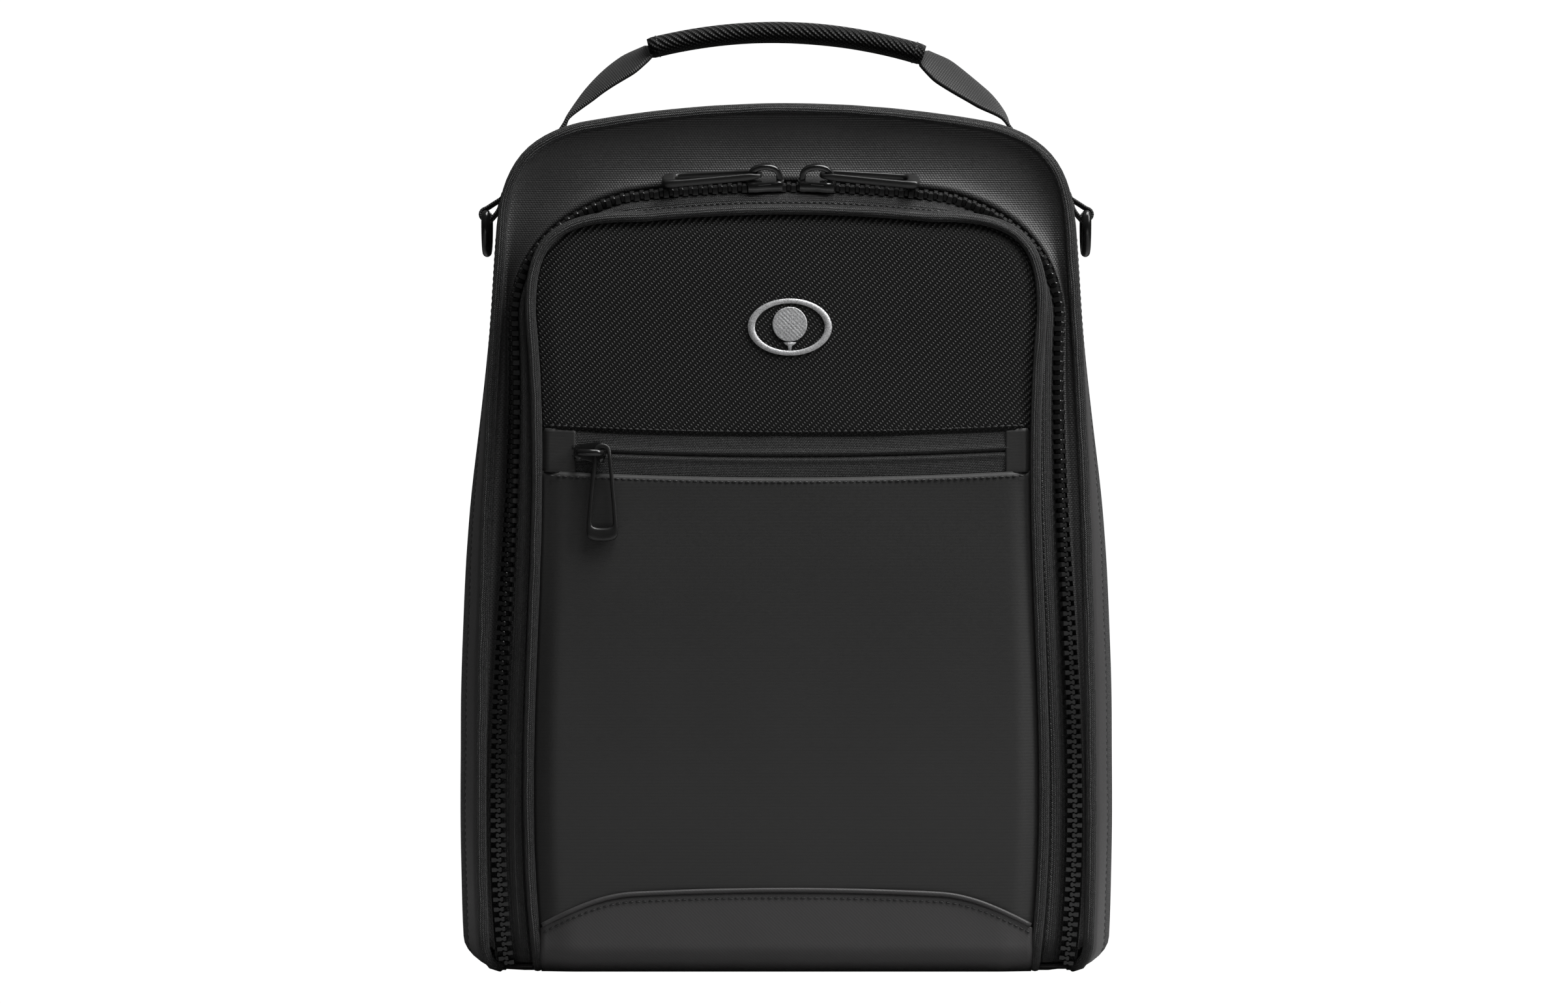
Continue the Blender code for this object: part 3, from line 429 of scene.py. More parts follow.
def hump(tree, value, power=1.0):
    # a rounded bump once in each whole step of value
    part = op(tree, "FRACT", value)
    bump = op(tree, "SINE", op(tree, "MULTIPLY", part, math.pi))
    return bump if power == 1.0 else op(tree, "POWER", op(tree, "MAXIMUM", bump, 0.0001), power)


def basket(tree, u, v, wide, high, power=0.8):
    row = op(tree, "FLOOR", op(tree, "DIVIDE", v, high))
    shift = op(tree, "MULTIPLY", op(tree, "FLOORED_MODULO", row, 2.0), 0.5)
    a = hump(tree, op(tree, "ADD", op(tree, "DIVIDE", u, wide), shift), power)
    return op(tree, "MULTIPLY", a, hump(tree, op(tree, "DIVIDE", v, high), power))


def twill(tree, u, v, ridge, bead):
    p = op(tree, "DIVIDE", op(tree, "SUBTRACT", u, v), ridge * math.sqrt(2))
    q = op(tree, "DIVIDE", op(tree, "ADD", u, v), bead * math.sqrt(2))
    line = hump(tree, p, 2.0)
    shift = op(tree, "MULTIPLY", op(tree, "FLOOR", p), 0.37)
    beads = hump(tree, op(tree, "ADD", q, shift), 0.9)
    return op(tree, "MULTIPLY", line, op(tree, "MULTIPLY_ADD", beads, 0.7, 0.3))


def herringbone(tree, u, v, pitch, wide):
    zig = op(tree, "PINGPONG", op(tree, "DIVIDE", v, wide), 1.0)
    return hump(tree, op(tree, "ADD", op(tree, "DIVIDE", u, pitch), zig), 0.8)


clothUsual = {"fineScale": 900.0, "vary": 0.35, "grain": 0.5, "glintPaint": 0.0, "strength": 0.6, "fuzz": 0.25,
              "sheen": 0.0, "specular": 0.5}


def clothFinish(name, own, pattern):
    # colour, roughness and bump from a weave's 0 to 1 height, broken up by soft and fine variation; the colour
    # carries painted shade in the weave's valleys and painted highlight on its tops
    spec = {**clothUsual, **own}
    material, tree, shader = blankMaterial(
        name, spec["colour"], spec["rough"], sheen=spec["sheen"], specular=spec["specular"]
    )
    height = pattern(tree, *millimetres(tree))
    broad, fine = speckle(tree, 28.0, 3.0), speckle(tree, spec["fineScale"], 2.0)
    # painted shade and highlight: the colour drops to the share 'shadow' of itself in the weave's valleys and is full
    # on its raised tops
    mix = op(tree, "MULTIPLY_ADD", height, 1 - spec["shadow"], spec["shadow"])
    vary = op(tree, "MULTIPLY_ADD", broad, spec["vary"], 1 - spec["vary"] / 2)
    grain = op(tree, "MULTIPLY_ADD", fine, spec["grain"], 1 - spec["grain"] / 2)
    if spec["glintPaint"]:
        # painted highlight: a few bright specks put into the colour, as glints where the yarn turns towards the light
        paintedGlintSpecks = op(tree, "POWER", op(tree, "MULTIPLY", fine, 1.75), 8.0)
        grain = op(tree, "MULTIPLY_ADD", paintedGlintSpecks, spec["glintPaint"], grain)
    amount = op(tree, "MULTIPLY", op(tree, "MULTIPLY", mix, vary), grain)
    tint = tree.nodes.new("ShaderNodeMix")
    tint.data_type = "RGBA"
    tint.blend_type = "MIX"
    tree.links.new(op(tree, "MINIMUM", op(tree, "MULTIPLY", amount, 0.5), 1.0), tint.inputs["Factor"])
    tint.inputs["A"].default_value = (0, 0, 0, 1)
    tint.inputs["B"].default_value = (*[min(1.0, 2 * c) for c in spec["colour"]], 1)
    tree.links.new(tint.outputs["Result"], shader.inputs["Base Color"])
    rough = op(tree, "MULTIPLY_ADD", height, spec["gloss"] - spec["rough"], spec["rough"])
    rough = op(tree, "MULTIPLY_ADD", op(tree, "SUBTRACT", fine, 0.5), 0.18, rough, clamp=True)
    tree.links.new(rough, shader.inputs["Roughness"])
    mixed = op(tree, "MULTIPLY_ADD", fine, spec["fuzz"], height)
    bumpFrom(tree, shader, mixed, spec["strength"], spec["deep"])
    return material


def plasticFinish(name, colour, rough, coat=0.0, metal=0.0, fleck=0.12):
    material, tree, shader = blankMaterial(name, colour, rough, metal=metal, coat=coat)
    fine, broad = speckle(tree, 600.0, 3.0), speckle(tree, 60.0, 2.0)
    value = op(tree, "MULTIPLY_ADD", op(tree, "SUBTRACT", broad, 0.5), fleck * 2, rough)
    value = op(tree, "MULTIPLY_ADD", op(tree, "SUBTRACT", fine, 0.5), fleck, value, clamp=True)
    tree.links.new(value, shader.inputs["Roughness"])
    bumpFrom(tree, shader, fine, 0.5, 0.00002)
    return material


def silverFinish():
    # flakes of differing brightness and height
    material, tree, shader = blankMaterial("silverFlakePrint", (0.42, 0.42, 0.43), 0.42, metal=0.35)
    coords = tree.nodes.new("ShaderNodeTexCoord")
    cells = tree.nodes.new("ShaderNodeTexVoronoi")
    cells.inputs["Scale"].default_value = 3400.0
    tree.links.new(coords.outputs["Object"], cells.inputs["Vector"])
    ramp = tree.nodes.new("ShaderNodeValToRGB")
    ramp.color_ramp.elements[0].color = (0.27, 0.27, 0.275, 1)
    ramp.color_ramp.elements[1].color = (0.68, 0.68, 0.69, 1)
    parts = tree.nodes.new("ShaderNodeSeparateColor")
    tree.links.new(cells.outputs["Color"], parts.inputs[0])
    tree.links.new(parts.outputs[0], ramp.inputs[0])
    tree.links.new(ramp.outputs[0], shader.inputs["Base Color"])
    bumpFrom(tree, shader, parts.outputs[1], 0.8, 0.00015)
    return material


finishes = {
    "coated": clothFinish(
        "coatedBasketWeave",
        {"colour": (0.034, 0.0335, 0.0335), "rough": 0.48, "gloss": 0.34, "shadow": 0.35, "deep": 0.00020,
         "sheen": 0.04, "vary": 0.25, "grain": 0.6},
        lambda tree, u, v: basket(tree, u, v, 1.2, 0.95, 0.6),
    ),
    "ribbed": clothFinish(
        "coatedRibWeave",
        {"colour": (0.0158, 0.0156, 0.0153), "rough": 0.60, "gloss": 0.52, "shadow": 0.88, "deep": 0.00003,
         "sheen": 0.04, "vary": 0.16, "grain": 0.25, "fuzz": 0.5},
        lambda tree, u, v: op(tree, "MULTIPLY_ADD", hump(tree, op(tree, "DIVIDE", v, 1.4), 1.0), 0.7,
                              op(tree, "MULTIPLY", basket(tree, u, v, 0.7, 0.7), 0.3)),
    ),
    "smooth": clothFinish(
        "smoothCoatedCloth",
        {"colour": (0.0400, 0.0385, 0.0390), "rough": 0.52, "gloss": 0.46, "shadow": 0.88, "deep": 0.00003,
         "sheen": 0.04, "vary": 0.16, "grain": 0.25, "fuzz": 0.5},
        lambda tree, u, v: hump(tree, op(tree, "DIVIDE", op(tree, "ADD", u, v), 1.5), 1.0),
    ),
    "twill": clothFinish(
        "diagonalTwill",
        {"colour": (0.0078, 0.0078, 0.0076), "rough": 0.78, "gloss": 0.22, "shadow": 0.0, "deep": 0.00055,
         "vary": 0.2, "grain": 1.2, "strength": 1.0, "specular": 0.26, "fineScale": 620.0, "fuzz": 0.1},
        lambda tree, u, v: twill(tree, u, v, 2.1, 1.2),
    ),
    "mesh": clothFinish(
        "ribbedSideMesh",
        {"colour": (0.019, 0.0186, 0.019), "rough": 0.8, "gloss": 0.55, "shadow": 0.2, "deep": 0.0005,
         "sheen": 0.08, "vary": 0.2, "grain": 0.8, "strength": 0.8},
        lambda tree, u, v: op(tree, "MULTIPLY", hump(tree, op(tree, "DIVIDE", op(tree, "ADD", u, v), 3.4), 0.8),
                              op(tree, "MULTIPLY_ADD", basket(tree, u, v, 1.1, 0.9), 0.6, 0.4)),
    ),
    "binding": clothFinish(
        "wovenPipingTape",
        {"colour": (0.0075, 0.0075, 0.0075), "rough": 0.72, "gloss": 0.30, "shadow": 0.05, "deep": 0.00032,
         "sheen": 0.05, "vary": 0.2, "grain": 1.9, "glintPaint": 0.9, "fineScale": 760.0, "strength": 1.0, "fuzz": 0.8},
        lambda tree, u, v: op(tree, "MULTIPLY", herringbone(tree, u, v, 0.85, 0.6),
                              op(tree, "MULTIPLY_ADD", hump(tree, op(tree, "DIVIDE", v, 0.6), 0.7), 0.6, 0.4)),
    ),
    "tape": clothFinish(
        "wovenZipTape",
        {"colour": (0.0070, 0.0070, 0.0070), "rough": 0.75, "gloss": 0.40, "shadow": 0.2, "deep": 0.00022,
         "sheen": 0.05, "vary": 0.15, "grain": 1.9, "glintPaint": 1.2, "fineScale": 760.0, "strength": 0.9, "fuzz": 0.8},
        lambda tree, u, v: basket(tree, u, v, 0.7, 0.7),
    ),
    "webbing": clothFinish(
        "ribbedWebbing",
        {"colour": (0.0070, 0.0069, 0.0067), "rough": 0.74, "gloss": 0.5, "shadow": 0.25, "deep": 0.0003,
         "sheen": 0.08, "vary": 0.15, "grain": 0.7, "strength": 0.8},
        lambda tree, u, v: op(tree, "MULTIPLY", hump(tree, op(tree, "DIVIDE", v, 1.05), 0.8),
                              op(tree, "MULTIPLY_ADD", hump(tree, op(tree, "DIVIDE", u, 1.6), 0.6), 0.5, 0.5)),
    ),
    "lining": clothFinish(
        "plainLining",
        {"colour": (0.040, 0.040, 0.041), "rough": 0.72, "gloss": 0.6, "shadow": 0.6, "deep": 0.00012,
         "sheen": 0.1, "vary": 0.25, "grain": 0.4},
        lambda tree, u, v: basket(tree, u, v, 0.8, 0.8),
    ),
    "thread": plasticFinish("polyesterThread", (0.013, 0.013, 0.013), 0.36, fleck=0.2),
    "teeth": plasticFinish("mouldedTeeth", (0.0075, 0.0075, 0.0075), 0.34, fleck=0.15),
    "lacquer": plasticFinish("blackLacquer", (0.0095, 0.0095, 0.0095), 0.24, coat=0.3, metal=0.35, fleck=0.08),
    "rubber": plasticFinish("softPullRubber", (0.0095, 0.0095, 0.0093), 0.32, fleck=0.1),
    "ring": plasticFinish("mouldedRing", (0.0075, 0.0075, 0.0075), 0.22, fleck=0.08),
    "board": plasticFinish("stiffenerBoard", (0.05, 0.05, 0.05), 0.6),
    "silver": silverFinish(),
}
print("finishes made")


def paint(piece, finish):
    piece.data.materials.clear()
    piece.data.materials.append(finishes[finish])


def dress(piece, finish, body, slotName, *cadNodes):
    paint(piece, finish)
    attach(piece, body)
    if cadNodes:
        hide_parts(*cadNodes)


def sew(name, path, outward, body, **size):
    dress(stitchRow(name, path, outward, **size), "thread", body, "binding")


case = {"puff": 0.0007, "tuck": 0.0014, "tuckWide": 0.03, "creases": 0.0005, "creaseSize": 0.045, "gap": 0.0018,
        "stripDeep": 0.163, "meshFrom": 0.161, "meshSunk": 0.0006, "seamDeep": 0.150, "sideThick": 0.0016,
        "topThick": 0.0018, "pipingRadius": 0.0024, "pipingInset": 0.0017, "pipingLow": 0.0026}


def skinPoint(outline, depth, i, extra=0.0):
    p = outline[i]
    before, after = outline[max(i - 1, 0)], outline[min(i + 1, len(outline) - 1)]
    along = (after - before).normalized()
    if i == len(outline) - 1:
        along = Vector((-1, 0))
    normal = Vector((along.y, -along.x))
    edge = min(depth, 1 - depth)
    out = case["puff"] * math.sin(math.pi * depth) - case["tuck"] * (1 - ease(0, case["tuckWide"], edge)) + extra
    front, rear = frontY(p.y) + case["gap"], bag["backY"] - case["gap"]
    y = front + (rear - front) * depth
    loose = ease(0.0, 0.06, edge) * ease(0.004, 0.03, p.y)
    out += loose * wobble((p.x, y, p.y), case["creaseSize"], case["creases"])
    return (p.x + normal.x * out, y, max(0.0, p.y + normal.y * out))


def skinRows(depths, first, last, extra=lambda d: 0.0):
    rows = []
    for depth in depths:
        outline = halfOutline(depth)
        rows.append([skinPoint(outline, depth, i, extra(depth)) for i in range(first, last)])
    return np.array(rows)


def spaced(low, high, count, crowd=0.0):
    ts = np.linspace(0, 1, count)
    if crowd:
        ts = ts - crowd * np.sin(2 * math.pi * ts) / (2 * math.pi)
    return low + (high - low) * ts


def buildSides():
    for side, word in ((-1, "left"), (1, "right")):
        mirror = np.array((side, 1, 1))
        strip = skinRows(spaced(0.0, case["stripDeep"], 14), 0, shoulderIndex + 1) * mirror
        piece = clothGrid(f"sideStrip_{word}", np.transpose(strip, (1, 0, 2)), thick=case["sideThick"])
        dress(piece, "smooth", "case", "coated", f"side_strip_{word}")
        sunk = lambda d: -case["meshSunk"] * (1 - ease(0.16, 0.175, d))
        panel = skinRows(spaced(case["meshFrom"], 1.0, 40), 0, shoulderIndex + 1, sunk) * mirror
        piece = clothGrid(f"sideMesh_{word}", np.transpose(panel, (1, 0, 2)), thick=case["sideThick"])
        dress(piece, "mesh", "case", "mesh", f"side_mesh_{word}")
        seam = skinRows([case["seamDeep"]], 6, shoulderIndex + 1)[0] * mirror
        sew(f"sideStitch_{word}", seam, lambda p, s=side: (s, -0.1, 0), "case")


def buildTop():
    depths = spaced(0.0, 1.0, 34, 0.5)
    half = skinRows(depths, shoulderIndex, len(halfOutline(0.0)))
    other = half[:, :-1][:, ::-1] * np.array((-1, 1, 1))
    rows = np.concatenate([half, other], axis=1)
    piece = clothGrid("topGusset", rows, thick=case["topThick"])
    dress(piece, "coated", "case", "coated", "top_gusset")


def buildPiping():
    frontSeam, rearSeam = lambda z: frontY(z) + 0.0005, lambda z: bag["backY"] - 0.0004
    for word, depth, seamY in (("front", 0.0, frontSeam), ("rear", 1.0, rearSeam)):
        line = evenly(bothSides(insetLine(halfOutline(depth), case["pipingInset"])[1:]), step=0.004)
        path = [Vector((x, seamY(z), max(z, case["pipingLow"]))) for x, z in line]
        piece = roundCord(f"{word}Piping", path, case["pipingRadius"], lumps=0.00012)
        dress(piece, "binding", "case", "binding", f"{word}_piping")


def buildBack():
    outline = evenly(bothSides(insetLine(halfOutline(1.0), 0.0030)[3:]), count=121)
    face = lambda z: bag["backY"] - 0.0008
    piece = cushionPatch("backPanel", outline, (36, 46), face, 0.0022, 0.010, 0.0016, slack=0.0004)
    dress(piece, "smooth", "case", "coated", "back_panel")


def splitOutline(outline, cut):
    # an open outline, right foot to left foot, as three sides of a patch; cut is the points up each side
    count = len(outline)
    right, top, left = outline[: cut + 1], outline[cut : count - cut], outline[count - cut - 1 :]
    return right, top[::-1], left[::-1]


def coons(bottom, right, top, left, columns, rows):
    bottom, top = evenly(bottom, columns), evenly(top, columns)
    left, right = evenly(left, rows), evenly(right, rows)
    u = np.linspace(0, 1, columns)[None, :, None]
    v = np.linspace(0, 1, rows)[:, None, None]
    plain = (1 - v) * bottom[None] + v * top[None] + (1 - u) * left[:, None] + u * right[:, None]
    corners = (1 - u) * (1 - v) * bottom[0] + u * (1 - v) * bottom[-1] + (1 - u) * v * top[0] + u * v * top[-1]
    return plain - corners


def nearness(points, line):
    # how far each point is from a line, both flat
    a, b = line[:-1], line[1:]
    span = b - a
    length = np.maximum((span**2).sum(1), 1e-12)
    flat = points.reshape(-1, 1, 2)
    share = np.clip(((flat - a) * span).sum(2) / length, 0, 1)
    spot = a + share[..., None] * span
    return np.sqrt(((flat - spot) ** 2).sum(2)).min(1).reshape(points.shape[:2])


def cushionPatch(name, outline, size, faceY, roll, rollWide, thick, slack, corner=0.41):
    # a padded flat panel that faces back: full in the middle and rolled to its seam all round
    right, top, left = splitOutline(outline, round(len(outline) * corner))
    bottom = np.stack([np.linspace(outline[-1][0], outline[0][0], 40), np.full(40, outline[0][1])], axis=1)
    flat = coons(bottom, right, top, left, *size)
    away, low = nearness(flat, np.array(outline)), nearness(flat, bottom)
    points = np.zeros((*flat.shape[:2], 3))
    for i, j in np.ndindex(*flat.shape[:2]):
        x, z = flat[i, j]
        tuck = roll * (1 - ease(0, rollWide, away[i, j])) + roll * (1 - ease(0, rollWide, low[i, j]))
        loose = ease(0, 0.03, min(away[i, j], low[i, j]))
        full = faceY(z) + wobble((x, 0.3, z), 0.05, slack) * loose - min(tuck, roll)
        points[i, j] = (x, full, z)
    return clothGrid(name, points, uv=flat, inside=(0, -5, 0.2), thick=thick)


frontPanel = {"rolls": (0, 0.04, 0.1, 0.2, 0.32, 0.45, 0.58, 0.7, 0.8, 0.88, 0.94, 0.975, 1.0),
              "seams": 181, "seamInset": 0.0030, "hollow": 0.0022, "lip": 0.0008, "lipTurn": 0.0022,
              "slack": 0.0006, "thick": 0.0012}


def buildFrame():
    # the panel over the door runs down both sides as a narrow strip beside the zip
    seam = [p for p in insetLine(halfOutline(0.0), frontPanel["seamInset"]) if p.y > 0.011]
    outer = evenly(bothSides(seam), count=frontPanel["seams"])
    inner = evenly(bothSides([p for p in chainHalf() if p.y > 0.010]), count=frontPanel["seams"])
    tangent = np.gradient(inner, axis=0)
    tangent /= np.linalg.norm(tangent, axis=1)[:, None]
    out = np.stack([tangent[:, 1], -tangent[:, 0]], axis=1)
    reach = np.array([0.0040 - 0.0024 * rise(z) for z in inner[:, 1]])
    inner = inner + out * reach[:, None]
    rows = []
    for share in frontPanel["rolls"]:
        row = []
        dished = math.sin(math.pi * share / 0.9) ** 0.8 if share < 0.9 else 0.0
        for a, b in zip(outer, inner):
            x, z = a + (b - a) * share
            wide = np.linalg.norm(b - a)
            hollow = min(frontPanel["hollow"], 0.09 * wide) * dished
            lift = frontPanel["lip"] * ease(0.82, 0.95, share) * ease(0.004, 0.02, wide)
            lift -= frontPanel["lipTurn"] * ease(0.955, 1.0, share)
            loose = math.sin(math.pi * share) * ease(0.008, 0.02, wide)
            slack = loose * wobble((x, 0, z), 0.035, frontPanel["slack"])
            row.append((x, frontY(z) + 0.0006 * (1 - share) + hollow - lift + slack, z))
        rows.append(row)
    uv = [[(p[0], p[2]) for p in row] for row in rows]
    piece = clothGrid("frontFrame", rows, uv=uv, inside=(0, 5, 0.2), thick=frontPanel["thick"])
    dress(piece, "coated", "case", "coated", "arch_panel")


base = {"halfX": 0.1209, "frontY": -0.0600, "roll": 0.0010, "rollWide": 0.003, "thick": 0.0022,
        "seamX": 0.112, "seamFront": -0.050, "seamBack": 0.073}


def buildBase():
    frontEdge, backEdge = base["frontY"], bag["backY"] - 0.0002
    rows = []
    for y in spaced(frontEdge, backEdge, 22):
        row = []
        for x in spaced(-base["halfX"], base["halfX"], 30):
            edge = min(base["halfX"] - abs(x), y - frontEdge, backEdge - y)
            row.append((x, y, base["roll"] * (1 - ease(0, base["rollWide"], edge))))
        rows.append(row)
    piece = clothGrid("basePanel", rows, inside=(0, 0, 5), thick=base["thick"])
    dress(piece, "smooth", "case", "coated", "base_panel")
    x, front, back = base["seamX"], base["seamFront"], base["seamBack"]
    border = [(-x, front, 0.0009), (x, front, 0.0009), (x, back, 0.0009), (-x, back, 0.0009), (-x, front, 0.0009)]
    sew("baseStitch", border, lambda p: (0, 0, -1), "case", sink=-0.0003)
    paint(nodes["base_board"], "board")


lining = {"inset": 0.0030, "floorZ": 0.0062, "backGap": 0.0060, "frontGap": 0.0062, "thick": 0.0007,
          "slack": 0.0009, "rimRadius": 0.0013, "closing": (0.93, 0.75, 0.5, 0.25, 0.08, 0.0)}


def buildLining():
    # a loose cloth cup inside the case, open at the front and closed at the back by ever smaller loops
    centre = np.array((0.0, 0.18))
    loops = [(depth, 1.0) for depth in spaced(0, 1, 22)] + [(1.0, scale) for scale in lining["closing"]]
    rows = []
    for depth, scale in loops:
        half = insetLine(halfOutline(depth), lining["inset"])[2:]
        half = [Vector((p.x, max(p.y, lining["floorZ"]))) for p in half]
        row = []
        for spot in evenly(bothSides(half) + [half[0]], count=150):
            x, z = centre + (spot - centre) * scale
            front = frontY(z) + lining["frontGap"]
            y = front + (bag["backY"] - lining["backGap"] - front) * depth
            soft = ease(0.0, 0.1, depth) * ease(lining["floorZ"], lining["floorZ"] + 0.02, z)
            push = wobble((x, y, z), 0.03, lining["slack"]) * soft
            row.append((x * (1 - push * 4), y - (abs(push) if scale < 1 else 0), z))
        rows.append(row)
    piece = clothGrid("caseLining", rows, wrap=True, thick=lining["thick"])
    dress(piece, "lining", "case", "lining", "lining")
    rim = roundCord("liningBinding", rows[0][:-1], lining["rimRadius"], sides=8, closed=True)
    dress(rim, "binding", "case", "binding")


tooth = {"pitch": 0.0042, "halfThick": 0.0014, "bevel": 0.0004, "footZ": 0.0115}


def toothModel():
    # one moulded tooth, lying across +Y from the middle of the zip, with its face up +Z
    plan = [(-0.00105, 0.0034), (-0.00105, 0.0014), (-0.00062, 0.0009), (-0.00062, 0.0003), (-0.00112, -0.0001),
            (-0.00112, -0.0008), (-0.0007, -0.0012), (0.0007, -0.0012), (0.00112, -0.0008), (0.00112, -0.0001),
            (0.00062, 0.0003), (0.00062, 0.0009), (0.00105, 0.0014), (0.00105, 0.0034)]
    deselect()
    bpy.ops.mesh.primitive_circle_add(vertices=len(plan), radius=1, fill_type="NGON")
    model = bpy.context.object
    for vertex, (x, y) in zip(model.data.vertices, plan):
        vertex.co = (x, y, -tooth["halfThick"])
    bpy.ops.object.mode_set(mode="EDIT")
    bpy.ops.mesh.select_all(action="SELECT")
    for high in (2 * tooth["halfThick"] - tooth["bevel"], tooth["bevel"]):
        bpy.ops.mesh.extrude_region_move(TRANSFORM_OT_translate={"value": (0, 0, high)})
    bpy.ops.transform.resize(value=(0.78, 0.9, 1), center_override=(0, 0.0011, 0))
    bpy.ops.mesh.select_all(action="SELECT")
    bpy.ops.mesh.normals_make_consistent(inside=False)
    bpy.ops.object.mode_set(mode="OBJECT")
    return model


def buildTeeth():
    frames = chainFrames(tooth["pitch"] / 2)
    # the last door-side teeth at each foot stay with the case, below the line the door bends on
    places = {"frameTeethRow": [], "doorTeethRow": [], "footTeeth": []}
    for i, (place, along, across, off) in enumerate(frames):
        side = -1 if i % 2 else 1
        name = "frameTeethRow" if side > 0 else "footTeeth" if place.z < tooth["footZ"] else "doorTeethRow"
        places[name].append(axes(place, along * side, across * side, off))
    pieces = {name: copies(name, toothModel(), spots) for name, spots in places.items()}
    for piece in pieces.values():
        piece.data.set_sharp_from_angle(angle=math.radians(32))
    dress(pieces["frameTeethRow"], "teeth", "case", "teeth", "frame_teeth")
    dress(pieces["doorTeethRow"], "teeth", "door", "teeth", "door_teeth")
    dress(pieces["footTeeth"], "teeth", "case", "teeth")


tape = {"step": 0.0032, "start": 0.0004, "reach": 0.0048, "reachHigh": 0.0020, "footZ": 0.0024, "bend": 0.0036,
        "frameThick": 0.0007, "doorThick": 0.0006}
# how far across the door's tape, and how far its folded band stands up there
tapeFold = ((0.14, 0.0005), (0.24, 0.0014), (0.36, 0.0019), (0.50, 0.0019), (0.62, 0.0015), (0.72, 0.0007),
            (0.80, 0.0), (1.0, 0.0))


def nearestEdge(place, line):
    # the spot on the door's edge that the tape is sewn to: level with it up the sides, nearest round the top
    if place.z > 0.27:
        return min(line, key=lambda q: (q.x - place.x) ** 2 + (q.y - place.z) ** 2)
    level = [q for q in line if q.x * place.x > 0]
    return min(level, key=lambda q: abs(q.y - place.z) + (q.x - place.x) ** 2)


def buildTapes():
    frames = chainFrames(tape["step"])
    front = zipLine["tapeFront"]
    rows = []
    for share in np.linspace(0, 1, 7):
        row = []
        for place, along, across, off in frames:
            reach = tape["reach"] + tape["reachHigh"] * rise(place.z)
            wide = tape["start"] + (reach - tape["start"]) * share
            row.append(place + across * wide - off * (front + 0.0002 * math.sin(math.pi * share)))
        rows.append(row)
    piece = clothGrid("frameTape", rows, thick=tape["frameThick"], inside=(0, 5, 0.2))
    dress(piece, "tape", "case", "tape", "frame_tape")

    line = [Vector(p) for p in evenly(bothSides(doorFoot() + doorHalf(60, 40, 40)), step=0.001)]
    profiles = []
    for place, along, across, off in [f for f in frames if f[0].z > tape["footZ"]]:
        edge = nearestEdge(place, line)
        end = pipingPlace(edge.x, edge.y) + Vector((0, doorLine["pipingRadius"] + 0.0004, 0))
        start = place - across * tape["start"] - off * front
        bend = start - across * tape["bend"]
        span = end - bend
        lift = span.cross(along).normalized()
        if lift.dot(off) < 0:
            lift = -lift
        lift *= 0.35 + 0.65 * ease(0.004, 0.009, span.length)
        folds = [bend + span * share + lift * high for share, high in tapeFold]
        profiles.append([tuple(p) for p in [start, start.lerp(bend, 0.5), bend] + folds])
    rows = np.transpose(np.array(profiles), (1, 0, 2))
    piece = clothGrid("doorTape", rows, thick=tape["doorThick"], inside=(0, 5, 0.2))
    bendAtFoot(piece, "binding", "tape", "door_tape")
    outward = lambda p: (p.x * 2, -0.5, (p.z - 0.2) * 1.5 if p.z > 0.28 else 0)
    sew("doorTapeStitch", rows[7], outward, "door", pitch=0.0026, width=0.00035)


def bendAtFoot(piece, finish, slotName, *cadNodes):
    # cloth that turns under the front edge is painted and baked where it lies, on neither the case nor the door
    paint(piece, finish)
    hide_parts(*cadNodes)
    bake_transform(piece)


def buildDoorPiping():
    line = evenly(bothSides(doorFoot() + doorHalf()), step=0.004)
    piece = roundCord("doorPiping", [pipingPlace(x, z) for x, z in line], 0.0023, lumps=0.0001)
    bendAtFoot(piece, "binding", "binding", "door_piping")


def doorOutline(low, high, distance=0.0016):
    half = insetLine(doorHalf(120, 30, 30), distance)
    return [p for p in half if low <= p.y <= high]


def doorCloth(name, flat, away, seam, panel, tuck=lambda x, z: 0.0):
    # level with the piping at its edge, full in the middle and dipped at its seam
    points = np.zeros((*flat.shape[:2], 3))
    for i, j in np.ndindex(*flat.shape[:2]):
        x, z = flat[i, j]
        edge = pipingPlace(x, z).y + 0.0008
        middle = doorY(z) - panel["fullness"]
        y = edge + (middle - edge) * ease(0, panel["rollWide"], away[i, j]) ** 0.8
        y += 0.0005 * (1 - ease(0, 0.0012, seam[i, j]))
        y += ease(0.004, 0.03, away[i, j]) * wobble((x, panel["level"], z), panel["slackSize"], panel["slack"])
        points[i, j] = (x, y + tuck(x, z), z)
    return clothGrid(name, points, uv=flat, inside=(0, 5, 0.2), thick=panel["thick"])


def pocketSeam(side, out, up):
    # a stitch line beside the pocket; side is 1 above it and -1 below
    edgeZ = lambda x: pocketZ(x, side * pocketLine["halfHigh"])
    xs = np.linspace(-0.1015, 0.1015, 60)
    return [Vector((x, doorY(edgeZ(x)) - out, edgeZ(x) + side * up)) for x in xs]


upperPanel = {"fullness": 0.0003, "rollWide": 0.0085, "thick": 0.0012, "columns": 110, "rows": 60, "level": 1,
              "slack": 0.0005, "slackSize": 0.04}


def buildUpperPanel():
    edgeZ = lambda x: pocketZ(x, pocketLine["halfHigh"])
    half = doorOutline(edgeZ(0.104) + 0.0005, 1.0)
    half = [Vector((half[0].x, edgeZ(half[0].x)))] + half
    outline = evenly(bothSides(half), count=241)
    right, top, left = splitOutline(outline, 61)
    xs = np.linspace(-half[0].x, half[0].x, 60)
    bottom = np.stack([xs, [edgeZ(x) for x in xs]], axis=1)
    flat = coons(bottom, right, top, left, upperPanel["columns"], upperPanel["rows"])
    piece = doorCloth("doorUpperPanel", flat, nearness(flat, outline), nearness(flat, bottom), upperPanel)
    dress(piece, "twill", "door", "twill", "door_upper_panel")
    sew("pocketStitchUpper", pocketSeam(1, 0.0004, 0.0019), lambda p: (0, -1, 0), "door", sink=0.0)


